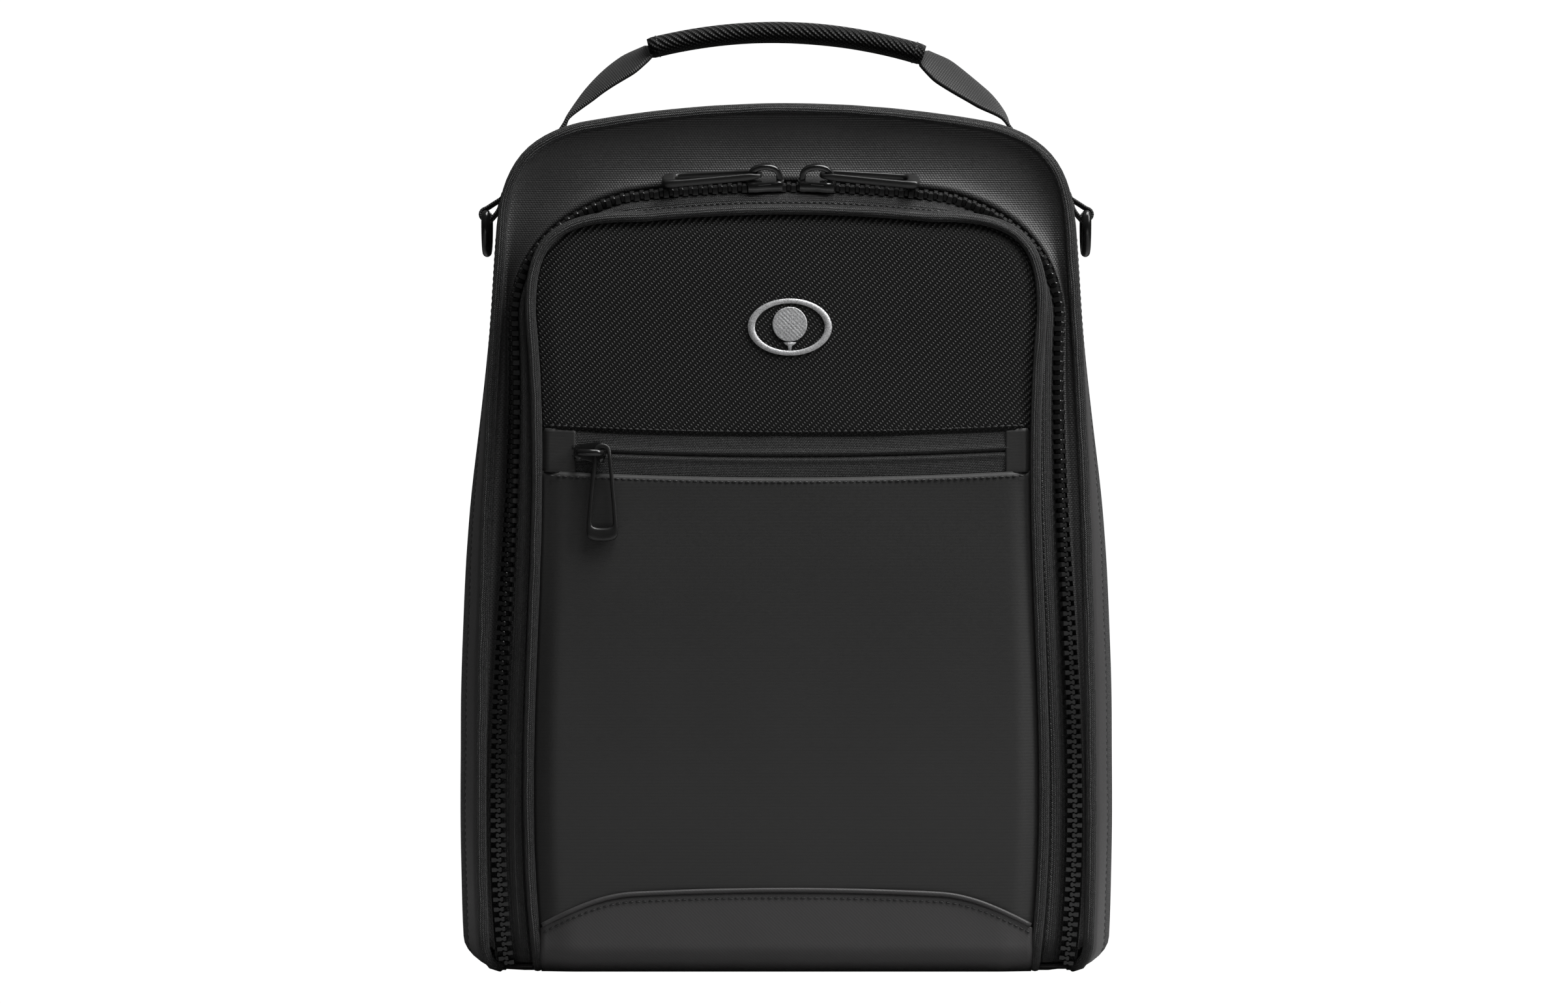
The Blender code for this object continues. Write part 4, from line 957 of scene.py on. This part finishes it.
lowerPanel = {"fullness": 0.0004, "rollWide": 0.010, "thick": 0.0012, "columns": 100, "rows": 90, "level": 2,
              "slack": 0.0005, "slackSize": 0.05, "footZ": 0.0150, "underToe": 0.0021}


def buildLowerPanel():
    edgeZ = lambda x: pocketZ(x, -pocketLine["halfHigh"])
    half = doorOutline(lowerPanel["footZ"], edgeZ(0.104) - 0.0005)
    half.append(Vector((half[-1].x, edgeZ(half[-1].x))))
    right = np.array([tuple(p) for p in half])
    left = right * np.array((-1, 1))
    xs = np.linspace(-half[-1].x, half[-1].x, 60)
    top = np.stack([xs, [edgeZ(x) for x in xs]], axis=1)
    bottom = np.stack([np.linspace(-half[0].x, half[0].x, 60), np.full(60, half[0].y)], axis=1)
    flat = coons(bottom, right, top, left, lowerPanel["columns"], lowerPanel["rows"])
    away = np.minimum(nearness(flat, right), nearness(flat, left))
    under = lambda x, z: lowerPanel["underToe"] * (1 - ease(-0.003, 0.0012, z - toeEdge(x)))
    piece = doorCloth("doorLowerPanel", flat, away, nearness(flat, top), lowerPanel, under)
    dress(piece, "ribbed", "door", "coated", "door_lower_panel")
    sew("pocketStitchLower", pocketSeam(-1, 0.0006, 0.0021), lambda p: (0, -1, 0), "door", sink=0.0)


toe = {"roundHigh": 0.0125, "roundDeep": 0.0165, "foot": 0.0003, "flatHalf": 0.066, "edgeZ": 0.0335, "crown": 0.0017,
       "halfX": 0.1048, "stitchDown": 0.0026, "thick": 0.0010, "cordRadius": 0.00105}


def toeEdge(x):
    # the cap's upper edge: nearly level over the middle, then down to the corners
    x = abs(x)
    if x < toe["flatHalf"]:
        return toe["edgeZ"] + toe["crown"] * (1 - (x / toe["flatHalf"]) ** 2)
    start, end = Vector((0.1045, 0.0198)), Vector((toe["flatHalf"], toe["edgeZ"]))
    points = [start] + curve(24, start, start + Vector((-0.011, 0.006)), end + Vector((0.014, -0.001)), end)
    return float(np.interp(x, [p.x for p in reversed(points)], [p.y for p in reversed(points)]))


def toeFace(x, z):
    # plumb down to the foot, then round on to the base; pulled back to the piping at both ends
    deep = max(0.0, 1 - z / toe["roundHigh"])
    y = doorY(z) - 0.0012 + toe["roundDeep"] * (1 - math.sqrt(max(0.0, 1 - deep**2)))
    return y + 0.0026 * ease(0.090, 0.1058, abs(x))


def buildToe():
    # the cap over the foot of the door turns under the front edge on to the base
    high, foot = toe["roundHigh"], toe["foot"]
    rows = []
    for share in np.linspace(0, 1, 30):
        row = []
        for x in np.linspace(-toe["halfX"], toe["halfX"], 90):
            z = toeEdge(x) + (high - toeEdge(x)) * (share / 0.5)
            if share >= 0.5:
                z = foot + (high - foot) * (1 - math.sin(math.pi / 2 * (share - 0.5) / 0.5))
            slack = wobble((x, 3, z), 0.03, 0.0003) * ease(0.004, 0.012, z)
            row.append((x, toeFace(x, z) + slack, z))
        rows.append(row)
    piece = clothGrid("toeCap", rows[::-1], inside=(0, 5, 0.2), thick=toe["thick"])
    bendAtFoot(piece, "smooth", "coated", "toe_cap")
    xs = np.linspace(-0.1040, 0.1040, 120)
    cord = [Vector((x, toeFace(x, toeEdge(x)) - 0.0001, toeEdge(x) + 0.0008)) for x in xs]
    piece = roundCord("toeCord", cord, toe["cordRadius"], sides=10, lumps=0.00005)
    dress(piece, "smooth", "door", "coated", "toe_cord")
    seam = [(x, toeEdge(x) - toe["stitchDown"]) for x in xs]
    row = [Vector((x, toeFace(x, z) - 0.0002, z)) for x, z in seam]
    sew("toeStitch", row, lambda p: (0, -1, 0), "door", sink=0.0)


pocket = {"left": -0.0915, "right": 0.0950, "gap": 0.00012, "half": 0.0094, "sunk": 0.0007, "thick": 0.0006,
          "tabs": {"left": (-0.1050, -0.0900), "right": (0.0936, 0.1050)}}


def buildPocket():
    # two tapes that meet over the hidden coil, and a coated tab at each end
    gap, half = pocket["gap"], pocket["half"]
    for low, high, word in ((gap, half, "Upper"), (-half, -gap, "Lower")):
        rows = []
        for offset in np.linspace(low, high, 13):
            near = abs(offset)
            swell = 0.0006 * math.exp(-((near - 0.0016) / 0.0011) ** 2) - 0.0006 * (1 - ease(0.0, 0.0007, near))
            swell += 0.00018 * math.sin(math.pi * min(1.0, near / 0.009)) ** 2
            row = []
            for x in np.linspace(pocket["left"], pocket["right"], 150):
                y = doorY(pocketZ(x)) + pocket["sunk"] - swell + wobble((x, 4, offset), 0.012, 0.0002)
                row.append((x, y, pocketZ(x, offset)))
            rows.append(row)
        piece = clothGrid(f"pocketTape{word}", rows, thick=pocket["thick"], inside=(0, 5, 0.2))
        dress(piece, "tape", "door", "tape", f"pocket_tape_{word.lower()}")
    for word, (first, last) in pocket["tabs"].items():
        rows = []
        for offset in np.linspace(-half, half, 12):
            spots = [(x, pocketZ(x, offset)) for x in np.linspace(first, last, 16)]
            rows.append([(x, doorY(z) + 0.0002 + 0.002 * ease(0.1015, 0.1050, abs(x)), z) for x, z in spots])
        piece = clothGrid(f"pocketTab_{word}", rows, thick=pocket["thick"], inside=(0, 5, 0.2))
        dress(piece, "ribbed", "door", "coated", f"pocket_tab_{word}")
    for name, finish in (("pocket_coil", "teeth"), ("pocket_bag", "lining"), ("door_wall", "lining")):
        paint(nodes[name], finish)


inner = {"faceY": 0.0070, "rimY": 0.0056, "rimRadius": 0.0016, "hingeY": 0.0082, "hingeHalf": 0.1058,
         "hingeLow": 0.0030, "hingeHigh": 0.0225}


def buildBacking():
    # the door's inner face: a bound, softly padded lining panel
    outline = evenly(bothSides(insetLine(doorHalf(80, 24, 24), 0.0010)), count=181)
    face = lambda z: leanY(z) + inner["faceY"]
    piece = cushionPatch("doorLining", outline, (60, 80), face, 0.0016, 0.012, 0.0022, slack=0.0008, corner=0.42)
    dress(piece, "lining", "door", "lining", "door_backing")
    footXs = np.linspace(outline[-1][0], outline[0][0], 30)[1:-1]
    loop = list(outline) + [(x, outline[0][1]) for x in footXs]
    path = [Vector((x, leanY(z) + inner["rimY"], z)) for x, z in loop]
    rim = roundCord("doorLiningBinding", path, inner["rimRadius"], sides=8, closed=True)
    dress(rim, "binding", "door", "binding")
    # a strip of lining across the hinge, from the floor to the foot of the door
    xs = np.linspace(-inner["hingeHalf"], inner["hingeHalf"], 70)
    zs = np.linspace(inner["hingeLow"], inner["hingeHigh"], 16)
    rows = [[(x, leanY(z) + inner["hingeY"], z) for x in xs] for z in zs]
    strip = clothGrid("hingeStrip", rows, thick=0.0006, inside=(0, 5, 0.2))
    bendAtFoot(strip, "lining", "lining")


badge = {"x": 0.0015, "z": 0.2760, "halfWide": 0.0180, "halfHigh": 0.0122, "thick": 0.0003, "line": (0.83, 0.91, 1.0),
         "ballUp": 0.0012, "ballRadius": 0.0074, "dimple": 0.00030, "dimples": 3300,
         "tee": ((0.0078, 0.0028), (0.0085, 0.0021), (0.0092, 0.0009), (0.0112, 0.0006))}


def buildEmblem():
    # a plain printed badge: an oval line round a dimpled golf ball on its tee
    face = lambda z: doorY(z) - 0.0009
    rings = []
    for share in badge["line"]:
        ring = [(share * c, share * s) for c, s in (turned(k, 64) for k in range(65))]
        ring = [(badge["x"] + badge["halfWide"] * c, badge["z"] + badge["halfHigh"] * s) for c, s in ring]
        rings.append([(x, face(z), z) for x, z in ring])
    shape = {"thick": badge["thick"], "inside": (0, 5, 0.2)}
    oval = clothGrid("badgeOval", rings, wrap=True, **shape)
    ballX, ballZ = badge["x"], badge["z"] + badge["ballUp"]
    rings = []
    for share in np.linspace(0.0, 1.0, 19):
        ring = []
        for c, s in (turned(k, 96) for k in range(97)):
            x, z = ballX + badge["ballRadius"] * share * c, ballZ + badge["ballRadius"] * share * s
            pattern = math.cos(x * badge["dimples"]) * math.cos(z * badge["dimples"])
            dimple = badge["dimple"] * max(0.0, pattern) if share < 0.95 else 0.0
            ring.append((x, face(z) - 0.0002 * math.sqrt(max(0.0, 1 - share**2)) + dimple, z))
        rings.append(ring)
    ball = clothGrid("badgeBall", rings, wrap=True, **shape)
    rows = []
    for down, half in badge["tee"]:
        z = ballZ - down
        rows.append([(x, face(z), z) for x in (ballX - half, ballX, ballX + half)])
    tee = clothGrid("badgeTee", rows, **shape)
    dress(joined("badgePrint", [oval, ball, tee]), "silver", "door", "silver", "emblem")


slider = {"length": 0.016, "halfWide": 0.0055, "plate": 0.0016, "leftX": -0.009, "rightX": 0.013,
          "plateLow": 0.0017, "skirtLow": -0.0011, "skirt": 0.0011, "droop": math.radians(3),
          "bridgeHigh": 0.0051, "bridgeWide": 0.0016, "bridgeThick": 0.0014}
pocketSlider = {"x": -0.0837, "scale": 0.86, "plateLow": 0.0003, "skirtLow": 0.0002, "bridgeHigh": 0.0057}
pull = {"mainLength": 0.042, "pocketLength": 0.0405, "halfThick": 0.0016, "barOff": 0.0055, "barAlong": 0.0022,
        "pegAlong": 0.0053, "pegOff": 0.0035, "rise": 0.0030, "dimple": 0.00035}


def rounded(corners, passes=3):
    points = [np.array(p, float) for p in corners]
    for _ in range(passes):
        cut = []
        for a, b in zip(points, points[1:] + points[:1]):
            cut += [a * 0.75 + b * 0.25, a * 0.25 + b * 0.75]
        points = cut
    return points


def loopPoints(points, count):
    closed = list(points) + [points[0]]
    return evenly(closed, count=count + 1)[:-1]


def buildSlider(name, matrix, body, node, plateLow, skirtLow, bridgeHigh, scale=1.0):
    half, wide = slider["length"] / 2 * scale, slider["halfWide"] * scale
    top = plateLow + slider["plate"] * scale
    # the plate is waisted behind a broad nose, and domed
    corners = [(-half, -wide * 0.72), (-half * 0.2, -wide * 0.80), (half * 0.35, -wide), (half, -wide * 0.85)]
    plan = loopPoints(rounded(corners + [(a, -b) for a, b in reversed(corners)], 2), 40)
    plan = list(plan) + [plan[0]]
    edges = ((0.0, plateLow), (0.6, plateLow), (0.96, plateLow), (1.0, plateLow + 0.0003), (1.0, top - 0.0006),
             (0.93, top - 0.00015), (0.7, top), (0.0, top + 0.0001))
    rows = [[matrix @ Vector((a * share, b * share, level)) for a, b in plan] for share, level in edges]
    plate = clothGrid(name + "Plate", rows, wrap=True, caps=True)
    skirt = []
    for a in np.linspace(-half * 0.92, half * 0.92, 9):
        out, high = wide * (0.80 + 0.18 * ease(-0.2, 0.5, a / half)), top - 0.0005
        within = slider["skirt"] * scale - out
        section = [(-out, skirtLow), (within, skirtLow), (within, high), (-out, high), (-out, skirtLow)]
        skirt.append([matrix @ Vector((a, b, c)) for b, c in section])
    flange = clothGrid(name + "Flange", skirt, wrap=True, caps=True)
    useModifier(flange, "BEVEL", width=0.00025, segments=2, limit_method="ANGLE", angle_limit=math.radians(50))
    path = []
    for k in range(25):
        c, s = turned(k, 48)
        level = top - 0.0004 + (bridgeHigh + 0.0009) * max(s, 0) ** 0.55
        path.append(matrix @ Vector((half * 0.77 * c, 0, level)))
    side = matrix.to_3x3() @ Vector((0, 1, 0))
    rows = []
    for i, here in enumerate(path):
        over = (path[min(i + 1, 24)] - path[max(i - 1, 0)]).normalized().cross(side)
        section = [(squared(c, 0.6), squared(s, 0.6)) for c, s in (turned(k, 12) for k in range(13))]
        flat, tall = slider["bridgeWide"] * scale, slider["bridgeThick"] * scale
        rows.append([here + side * flat * c + over * tall * s for c, s in section])
    bridge = clothGrid(name + "Bridge", rows, wrap=True, caps=True)
    piece = joined(name, [plate, flange, bridge])
    piece.data.shade_smooth()
    piece.data.set_sharp_from_angle(angle=math.radians(40))
    dress(piece, "lacquer", body, "metal", node)


def buildPull(name, matrix, body, node, length):
    # a tapering loop with a rounded grip at its wide end and a plain dimple in the grip
    outer = [(-0.0011, -0.0034), (0.006, -0.0041), (length - 0.008, -0.0067), (length - 0.0012, -0.0068),
             (length + 0.0002, -0.0036)]
    inner = [(0.0010, -0.0019), (0.006, -0.0024), (length - 0.0085, -0.0047), (length - 0.0056, -0.0042)]
    outer, inner = [loopPoints(rounded(half + [(a, -b) for a, b in reversed(half)]), 84) for half in (outer, inner)]
    rows = []
    for a, b in list(zip(outer, inner)) + [(outer[0], inner[0])]:
        row = []
        for c, s in (turned(k, 16) for k in range(17)):
            along, across = (a + b) / 2 + (a - b) / 2 * squared(c, 0.55)
            slim = 0.62 + 0.38 * ease(0.0008, 0.0045, along)
            swell = 1 + 0.12 * ease(length - 0.009, length - 0.003, along)
            level = pull["halfThick"] * slim * swell * squared(s, 0.6)
            if s > 0:
                away = ((along - length + 0.0030) / 0.0012) ** 2 + (across / 0.0036) ** 2
                level -= pull["dimple"] * math.exp(-away)
            row.append(matrix @ Vector((along, across, level)))
        rows.append(row)
    piece = clothGrid(name, rows, wrap=True, caps=True)
    dress(piece, "rubber", body, "rubber", node)


def zipFrameAt(x):
    turn = math.asin(x / zipLine["arcRadius"])
    z = zipLine["topZ"] - zipLine["arcRadius"] * (1 - math.cos(turn))
    along = Vector((math.cos(turn), 0, -math.sin(turn)))
    out = Vector((math.sin(turn), 0, math.cos(turn)))
    tilt = zipLine["lowTilt"] + zipLine["shelfTilt"]
    across = out * math.cos(tilt) + Vector((0, 1, 0)) * math.sin(tilt)
    off = out * math.sin(tilt) - Vector((0, 1, 0)) * math.cos(tilt)
    return Vector((x, chainPlace(0, zipLine["topZ"]).y, z)), along, across, off


def buildSliders():
    for word, x, side in (("left", slider["leftX"], -1), ("right", slider["rightX"], 1)):
        place, along, across, off = zipFrameAt(x)
        matrix = axes(place, along, across, off)
        facing = matrix @ Matrix.Rotation(math.pi, 4, "Z") @ Matrix.Scale(-1, 4, (0, 1, 0)) if side < 0 else matrix
        name = f"main_slider_{word}"
        sizes = [slider[key] for key in ("plateLow", "skirtLow", "bridgeHigh")]
        buildSlider(f"mainSlider_{word}", facing, name, name, *sizes)
        bar = matrix @ Vector((side * pull["barAlong"], 0, pull["barOff"]))
        c, s = math.cos(slider["droop"]), math.sin(slider["droop"])
        outward, lift = (side * along * c - off * s).normalized(), (off * c + side * along * s).normalized()
        name = f"main_pull_{word}"
        buildPull(f"mainPull_{word}", axes(bar, outward, lift.cross(outward), lift), name, name, pull["mainLength"])
    x = pocketSlider["x"]
    z = pocketZ(x)
    normal = Vector((0, -1, -bag["doorLean"])).normalized()
    up = Vector((0, -bag["doorLean"] * normal.y, -normal.y)).normalized()
    along = (Vector((1, 0, 0)) + up * (x / pocketLine["radius"])).normalized()
    up = -normal.cross(along)
    if up.z < 0:
        up = -up
    matrix = axes(Vector((x, doorY(z), z)), along, up, normal)
    sizes = [pocketSlider[key] for key in ("plateLow", "skirtLow", "bridgeHigh", "scale")]
    buildSlider("pocketSlider", matrix, "pocket_slider", "pocket_slider", *sizes)
    peg = matrix @ Vector((pull["pegAlong"], 0.0, pull["pegOff"]))
    hang = -Vector((0, bag["doorLean"], 1)).normalized()
    place = axes(peg - hang * pull["rise"], hang, normal.cross(hang), normal)
    buildPull("pocketPull", place, "pocket_pull", "pocket_pull", pull["pocketLength"])


handle = {"y": 0.010, "axisZ": 0.3705, "topZ": 0.408, "footX": 0.0965, "gripHalf": 0.0605, "gripDrop": 0.0085,
          "tilt": 0.024, "strapHalf": 0.0122, "strapThick": 0.0016, "lift": 0.0010,
          "gripWide": 0.0094, "gripThick": 0.0046, "sewnOut": 0.1085, "sewnIn": 0.0990,
          "turns": {"left": (13, 24), "right": (20, 30)}, "boxOut": 0.1070, "boxIn": 0.1005, "boxHalf": 0.0098}


def topZ(x, depth):
    points = list(reversed(halfOutline(depth)[shoulderIndex:]))
    return float(np.interp(abs(x), [p.x for p in points], [p.y for p in points]))


def handleLine():
    # the middle of the webbing and grip, right foot to left foot, a little higher at the left
    foot = Vector((handle["footX"], handle["axisZ"] + 0.0002))
    gripEnd = Vector((handle["gripHalf"], handle["topZ"] - handle["gripDrop"]))
    leg = [foot] + curve(16, foot, foot + Vector((-0.009, 0.012)), gripEnd + Vector((0.013, -0.009)), gripEnd)[:-1]
    for k in range(17):
        share = 1 - k / 16
        leg.append(Vector((handle["gripHalf"] * share, handle["topZ"] - handle["gripDrop"] * share**2)))
    line = []
    for p in reversed(bothSides(leg)):
        tilt = handle["tilt"] * p.x * ease(0.0, 0.02, p.y - handle["axisZ"])
        line.append(Vector((p.x, p.y - tilt)))
    return line


def buildGrip(line):
    # a padded sleeve, tight at its ends
    path = evenly(line, count=61)
    rows = []
    for i, (x, z) in enumerate(path):
        before, after = path[max(i - 1, 0)], path[min(i + 1, 60)]
        along = Vector((after[0] - before[0], 0, after[1] - before[1])).normalized()
        up = Vector((-along.z, 0, along.x))
        size = 0.90 + 0.10 * ease(0.0, 0.02, min(i, 60 - i) / 60) + wobble((x, 7, z), 0.02, 0.03)
        wide, high = Vector((0, handle["gripWide"] * size, 0)), up * handle["gripThick"] * size
        section = [(squared(c, 0.85), squared(s, 0.85)) for c, s in (turned(k, 28) for k in range(29))]
        rows.append([Vector((x, handle["y"], z)) + wide * c + high * s for c, s in section])
    ends = [[sum(row[:-1], Vector()) / 28] * 29 for row in (rows[0], rows[-1])]
    piece = clothGrid("handleGrip", [ends[0]] + rows + [ends[1]], wrap=True, caps=True)
    dress(piece, "twill", "handle", "twill", "handle_grip")
    for k, word in ((2, "left"), (58, "right")):
        loop = rows[k][:-1]
        centre = sum(loop, Vector()) / len(loop)
        loop = [centre + (p - centre) * 1.012 for p in loop]
        sew(f"gripStitch_{word}", loop, lambda p, c=centre: p - c, "handle", pitch=0.0024, length=0.0018)


def buildLeg(line, side, word):
    # one strap each side, turned a little, that runs down on to the top and is sewn flat
    leg = [p for p in line if p.x * side > 0.050]
    if abs(leg[0].x) < abs(leg[-1].x):
        leg.reverse()
    lying = []
    for x in np.linspace(handle["sewnOut"], handle["sewnIn"], 7):
        lying.append(Vector((side * x, topZ(x, 0.5) + handle["lift"])))
    path = [Vector(p) for p in evenly(smoothPath(lying + leg), step=0.0022)]
    lowTurn, highTurn = handle["turns"][word]
    rows, uv, run = [], [], 0.0
    for i, p in enumerate(path):
        before, after = path[max(i - 1, 0)], path[min(i + 1, len(path) - 1)]
        along = Vector((after.x - before.x, 0, after.y - before.y)).normalized()
        up = Vector((-along.z, 0, along.x))
        if up.z < 0:
            up = -up
        share = i / (len(path) - 1)
        free, inGrip = ease(0.12, 0.45, share), ease(0.87, 0.94, share)
        turn = math.radians(lowTurn + (highTurn - lowTurn) * ease(0.30, 0.75, share)) * free * (1 - 0.9 * inGrip)
        half = handle["strapHalf"] * (1 - 0.42 * ease(0.72, 0.93, share))
        flat = Vector((0, 1, 0)) * math.cos(turn) + up * math.sin(turn)
        top = up * math.cos(turn) - Vector((0, 1, 0)) * math.sin(turn)
        curl = 0.0012 * free * (1 - inGrip)
        ts = [k / 8 - 1 for k in range(17)]
        rows.append([Vector((p.x, handle["y"], p.y)) + flat * half * t - top * curl * t * t for t in ts])
        uv.append([(half * t, run) for t in ts])
        run += (path[min(i + 1, len(path) - 1)] - p).length
    piece = clothGrid(f"handleLeg_{word}", rows, uv=uv, inside=(0, 0, -3))
    useModifier(piece, "SOLIDIFY", thickness=handle["strapThick"], offset=0)
    paint(piece, "webbing")
    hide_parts("handle_strap", f"handle_anchor_{word}")
    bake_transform(piece)


def buildHandle():
    line = handleLine()
    buildGrip(line[16:-16])
    for side, word in ((-1, "left"), (1, "right")):
        buildLeg(line, side, word)
        # a box of stitches with one diagonal holds each end down
        out, within, half = handle["boxOut"], handle["boxIn"], handle["boxHalf"]
        corners = [(out, -half), (out, half), (within, half), (within, -half), (out, -half), (within, half)]
        corners = [Vector((side * a, handle["y"] + b)) for a, b in corners]
        spots = [a.lerp(b, k / 6) for a, b in zip(corners, corners[1:]) for k in range(6)]
        path = [Vector((p.x, p.y, topZ(p.x, 0.5) + handle["lift"] + 0.0010)) for p in spots]
        outward = lambda p, s=side: (s * 0.5, 0, 1)
        sew(f"anchorStitch_{word}", path, outward, "case", pitch=0.0022, length=0.0017, sink=0.0)


def smoothPath(points, passes=2):
    points = [Vector(p) for p in points]
    for _ in range(passes):
        cut = [points[0]]
        for a, b in zip(points, points[1:]):
            cut += [a.lerp(b, 0.25), a.lerp(b, 0.75)]
        points = cut + [points[-1]]
    return points


ring = {"x": 0.1316, "z": 0.3275, "y": 0.008, "rod": 0.002, "half": 0.013, "fall": 0.0035, "square": 0.004,
        "tabHalf": 0.0085, "tabThick": 0.0012, "tabUp": (0.352, 0.347, 0.342, 0.3385, 0.3352),
        "tabBack": (0.3295, 0.333, 0.337)}


def buildRings():
    half, square = ring["half"], ring["square"]
    outline = [(-half * 0.5, 0.0), (half * 0.5, 0.0), (half * 0.95, -0.0004), (half, -square)]
    outline += [(half * c, -ring["fall"] - half * s) for c, s in (turned(k, 32) for k in range(1, 16))]
    outline += [(-half, -square), (-half * 0.95, -0.0004)]
    loop = evenly(outline + [outline[0]], count=73)[:-1]
    wall = halfOutline(0.5)[10:80]
    surface = lambda z: float(np.interp(z, [p.y for p in wall], [p.x for p in wall]))
    # the webbing loop: down the side, round the rod and back up
    eye = ring["rod"] + 0.0008
    tab = [Vector((surface(z) + 0.0009, z)) for z in ring["tabUp"]] + [Vector((ring["x"] - 0.0026, 0.3322))]
    for k in range(12):
        a = math.radians(85 - 20 * k)
        tab.append(Vector((ring["x"] + eye * math.cos(a), ring["z"] + eye * math.sin(a))))
    tab += [Vector((surface(z) + 0.0016, z)) for z in ring["tabBack"]]
    tab = evenly(smoothPath(tab, 1), count=60)
    length = np.concatenate([[0], np.cumsum(np.linalg.norm(np.diff(tab, axis=0), axis=1))])
    across = ring["tabHalf"] * np.linspace(-1, 1, 9)
    uv = [[(y, s) for s in length] for y in across]
    for side, word in ((-1, "left"), (1, "right")):
        path = [Vector((side * ring["x"], ring["y"] + a, ring["z"] + b)) for a, b in loop]
        piece = roundCord(f"sideRing_{word}", path, ring["rod"], sides=16, closed=True, up=(1, 0, 0))
        dress(piece, "ring", f"ring_{word}", "plastic", f"side_ring_{word}")
        rows = [[Vector((side * p[0], ring["y"] + y, p[1])) for p in tab] for y in across]
        piece = clothGrid(f"ringTab_{word}", rows, uv=uv)
        useModifier(piece, "SOLIDIFY", thickness=ring["tabThick"], offset=0)
        dress(piece, "webbing", "case", "webbing", f"ring_tab_{word}")


studio = {
    "camera": (-0.001, -2.675, 0.2015), "lens": 140, "sensor": 36, "white": 1.05, "table": 0.30, "tableWide": 1.3,
    "below": 0.05, "level": 0.045, "above": 0.24,
    "lights": {
        "overhead": {"place": (0.42, -0.28, 1.45), "aim": (0, -0.02, 0.28), "size": (1.1, 0.6), "power": 23},
        "rightRim": {"place": (1.05, -0.50, 1.00), "aim": (0, 0, 0.27), "size": (0.4, 0.9), "power": 13},
        "frontFill": {"place": (0.05, -0.42, 0.035), "aim": (0, -0.06, 0.05), "size": (0.6, 0.05), "power": 0.12},
        "rearFill": {"place": (0.25, 1.9, 0.9), "aim": (0, 0, 0.2), "size": (1.0, 0.9), "power": 3.5},
    },
}


def seenWhite(tree, kind, own, output):
    # what the camera sees is plain white; what lights the bag is the shader of its own
    white = tree.nodes.new(kind)
    white.inputs["Color"].default_value = (1, 1, 1, 1)
    white.inputs["Strength"].default_value = studio["white"]
    seen, mix = tree.nodes.new("ShaderNodeLightPath"), tree.nodes.new("ShaderNodeMixShader")
    tree.links.new(seen.outputs["Is Camera Ray"], mix.inputs[0])
    tree.links.new(own.outputs[0], mix.inputs[1])
    tree.links.new(white.outputs[0], mix.inputs[2])
    tree.links.new(mix.outputs[0], tree.nodes[output].inputs["Surface"])


def buildLights():
    for name, light in studio["lights"].items():
        data = bpy.data.lights.new(name, "AREA")
        data.shape = "RECTANGLE"
        data.size, data.size_y = light["size"]
        data.energy = light["power"]
        lamp = bpy.data.objects.new(name, data)
        bpy.context.scene.collection.objects.link(lamp)
        lamp.location = light["place"]
        lamp.visible_camera = False
        aim = Vector(light["aim"]) - Vector(light["place"])
        lamp.rotation_euler = aim.to_track_quat("-Z", "Y").to_euler()


def buildFloor():
    deselect()
    bpy.ops.mesh.primitive_plane_add(size=studio["tableWide"], location=(0, -0.02, -0.0002))
    floor = bpy.context.object
    floor.name = "studioFloor"
    material, tree, shader = blankMaterial("whiteTable", (studio["table"],) * 3, 0.7, specular=0.1)
    seenWhite(tree, "ShaderNodeEmission", shader, "Material Output")
    floor.data.materials.append(material)


def buildWorld():
    # plain white behind the bag, and a dim room with a brighter ceiling for what the bag itself sees
    world = bpy.data.worlds.new("studio")
    bpy.context.scene.world = world
    world.use_nodes = True
    tree = world.node_tree
    background = tree.nodes["Background"]
    coords, parts = tree.nodes.new("ShaderNodeTexCoord"), tree.nodes.new("ShaderNodeSeparateXYZ")
    tree.links.new(coords.outputs["Generated"], parts.inputs[0])
    ramp = tree.nodes.new("ShaderNodeValToRGB")
    tree.links.new(op(tree, "MULTIPLY_ADD", parts.outputs[2], 0.5, 0.5), ramp.inputs[0])
    stops = ramp.color_ramp.elements
    stops.new(0.5)
    for stop, grey in zip(stops, (studio["below"], studio["level"], studio["above"])):
        stop.color = (grey, grey, grey, 1)
    tree.links.new(ramp.outputs[0], background.inputs["Color"])
    background.inputs["Strength"].default_value = 1.0
    seenWhite(tree, "ShaderNodeBackground", background, "World Output")


def buildCamera():
    scene = bpy.context.scene
    camera = bpy.data.objects.new("camera", bpy.data.cameras.new("camera"))
    scene.collection.objects.link(camera)
    camera.location = studio["camera"]
    camera.rotation_euler = (math.pi / 2, 0, 0)
    camera.data.lens = studio["lens"]
    camera.data.sensor_width = studio["sensor"]
    camera.data.clip_start = 0.05
    scene.camera = camera
    scene.view_settings.view_transform = "Standard"
    scene.view_settings.look = "None"


stages = {
    "case": (buildSides, buildTop, buildPiping, buildBack, buildFrame, buildBase, buildLining),
    "zip": (buildTeeth, buildTapes),
    "door": (buildDoorPiping, buildUpperPanel, buildLowerPanel, buildToe, buildPocket, buildBacking, buildEmblem),
    "fittings": (buildSliders, buildHandle, buildRings),
    "studio": (buildCamera, buildLights, buildFloor, buildWorld),
}
for stage, builders in stages.items():
    for build in builders:
        build()
    print(stage, "made")
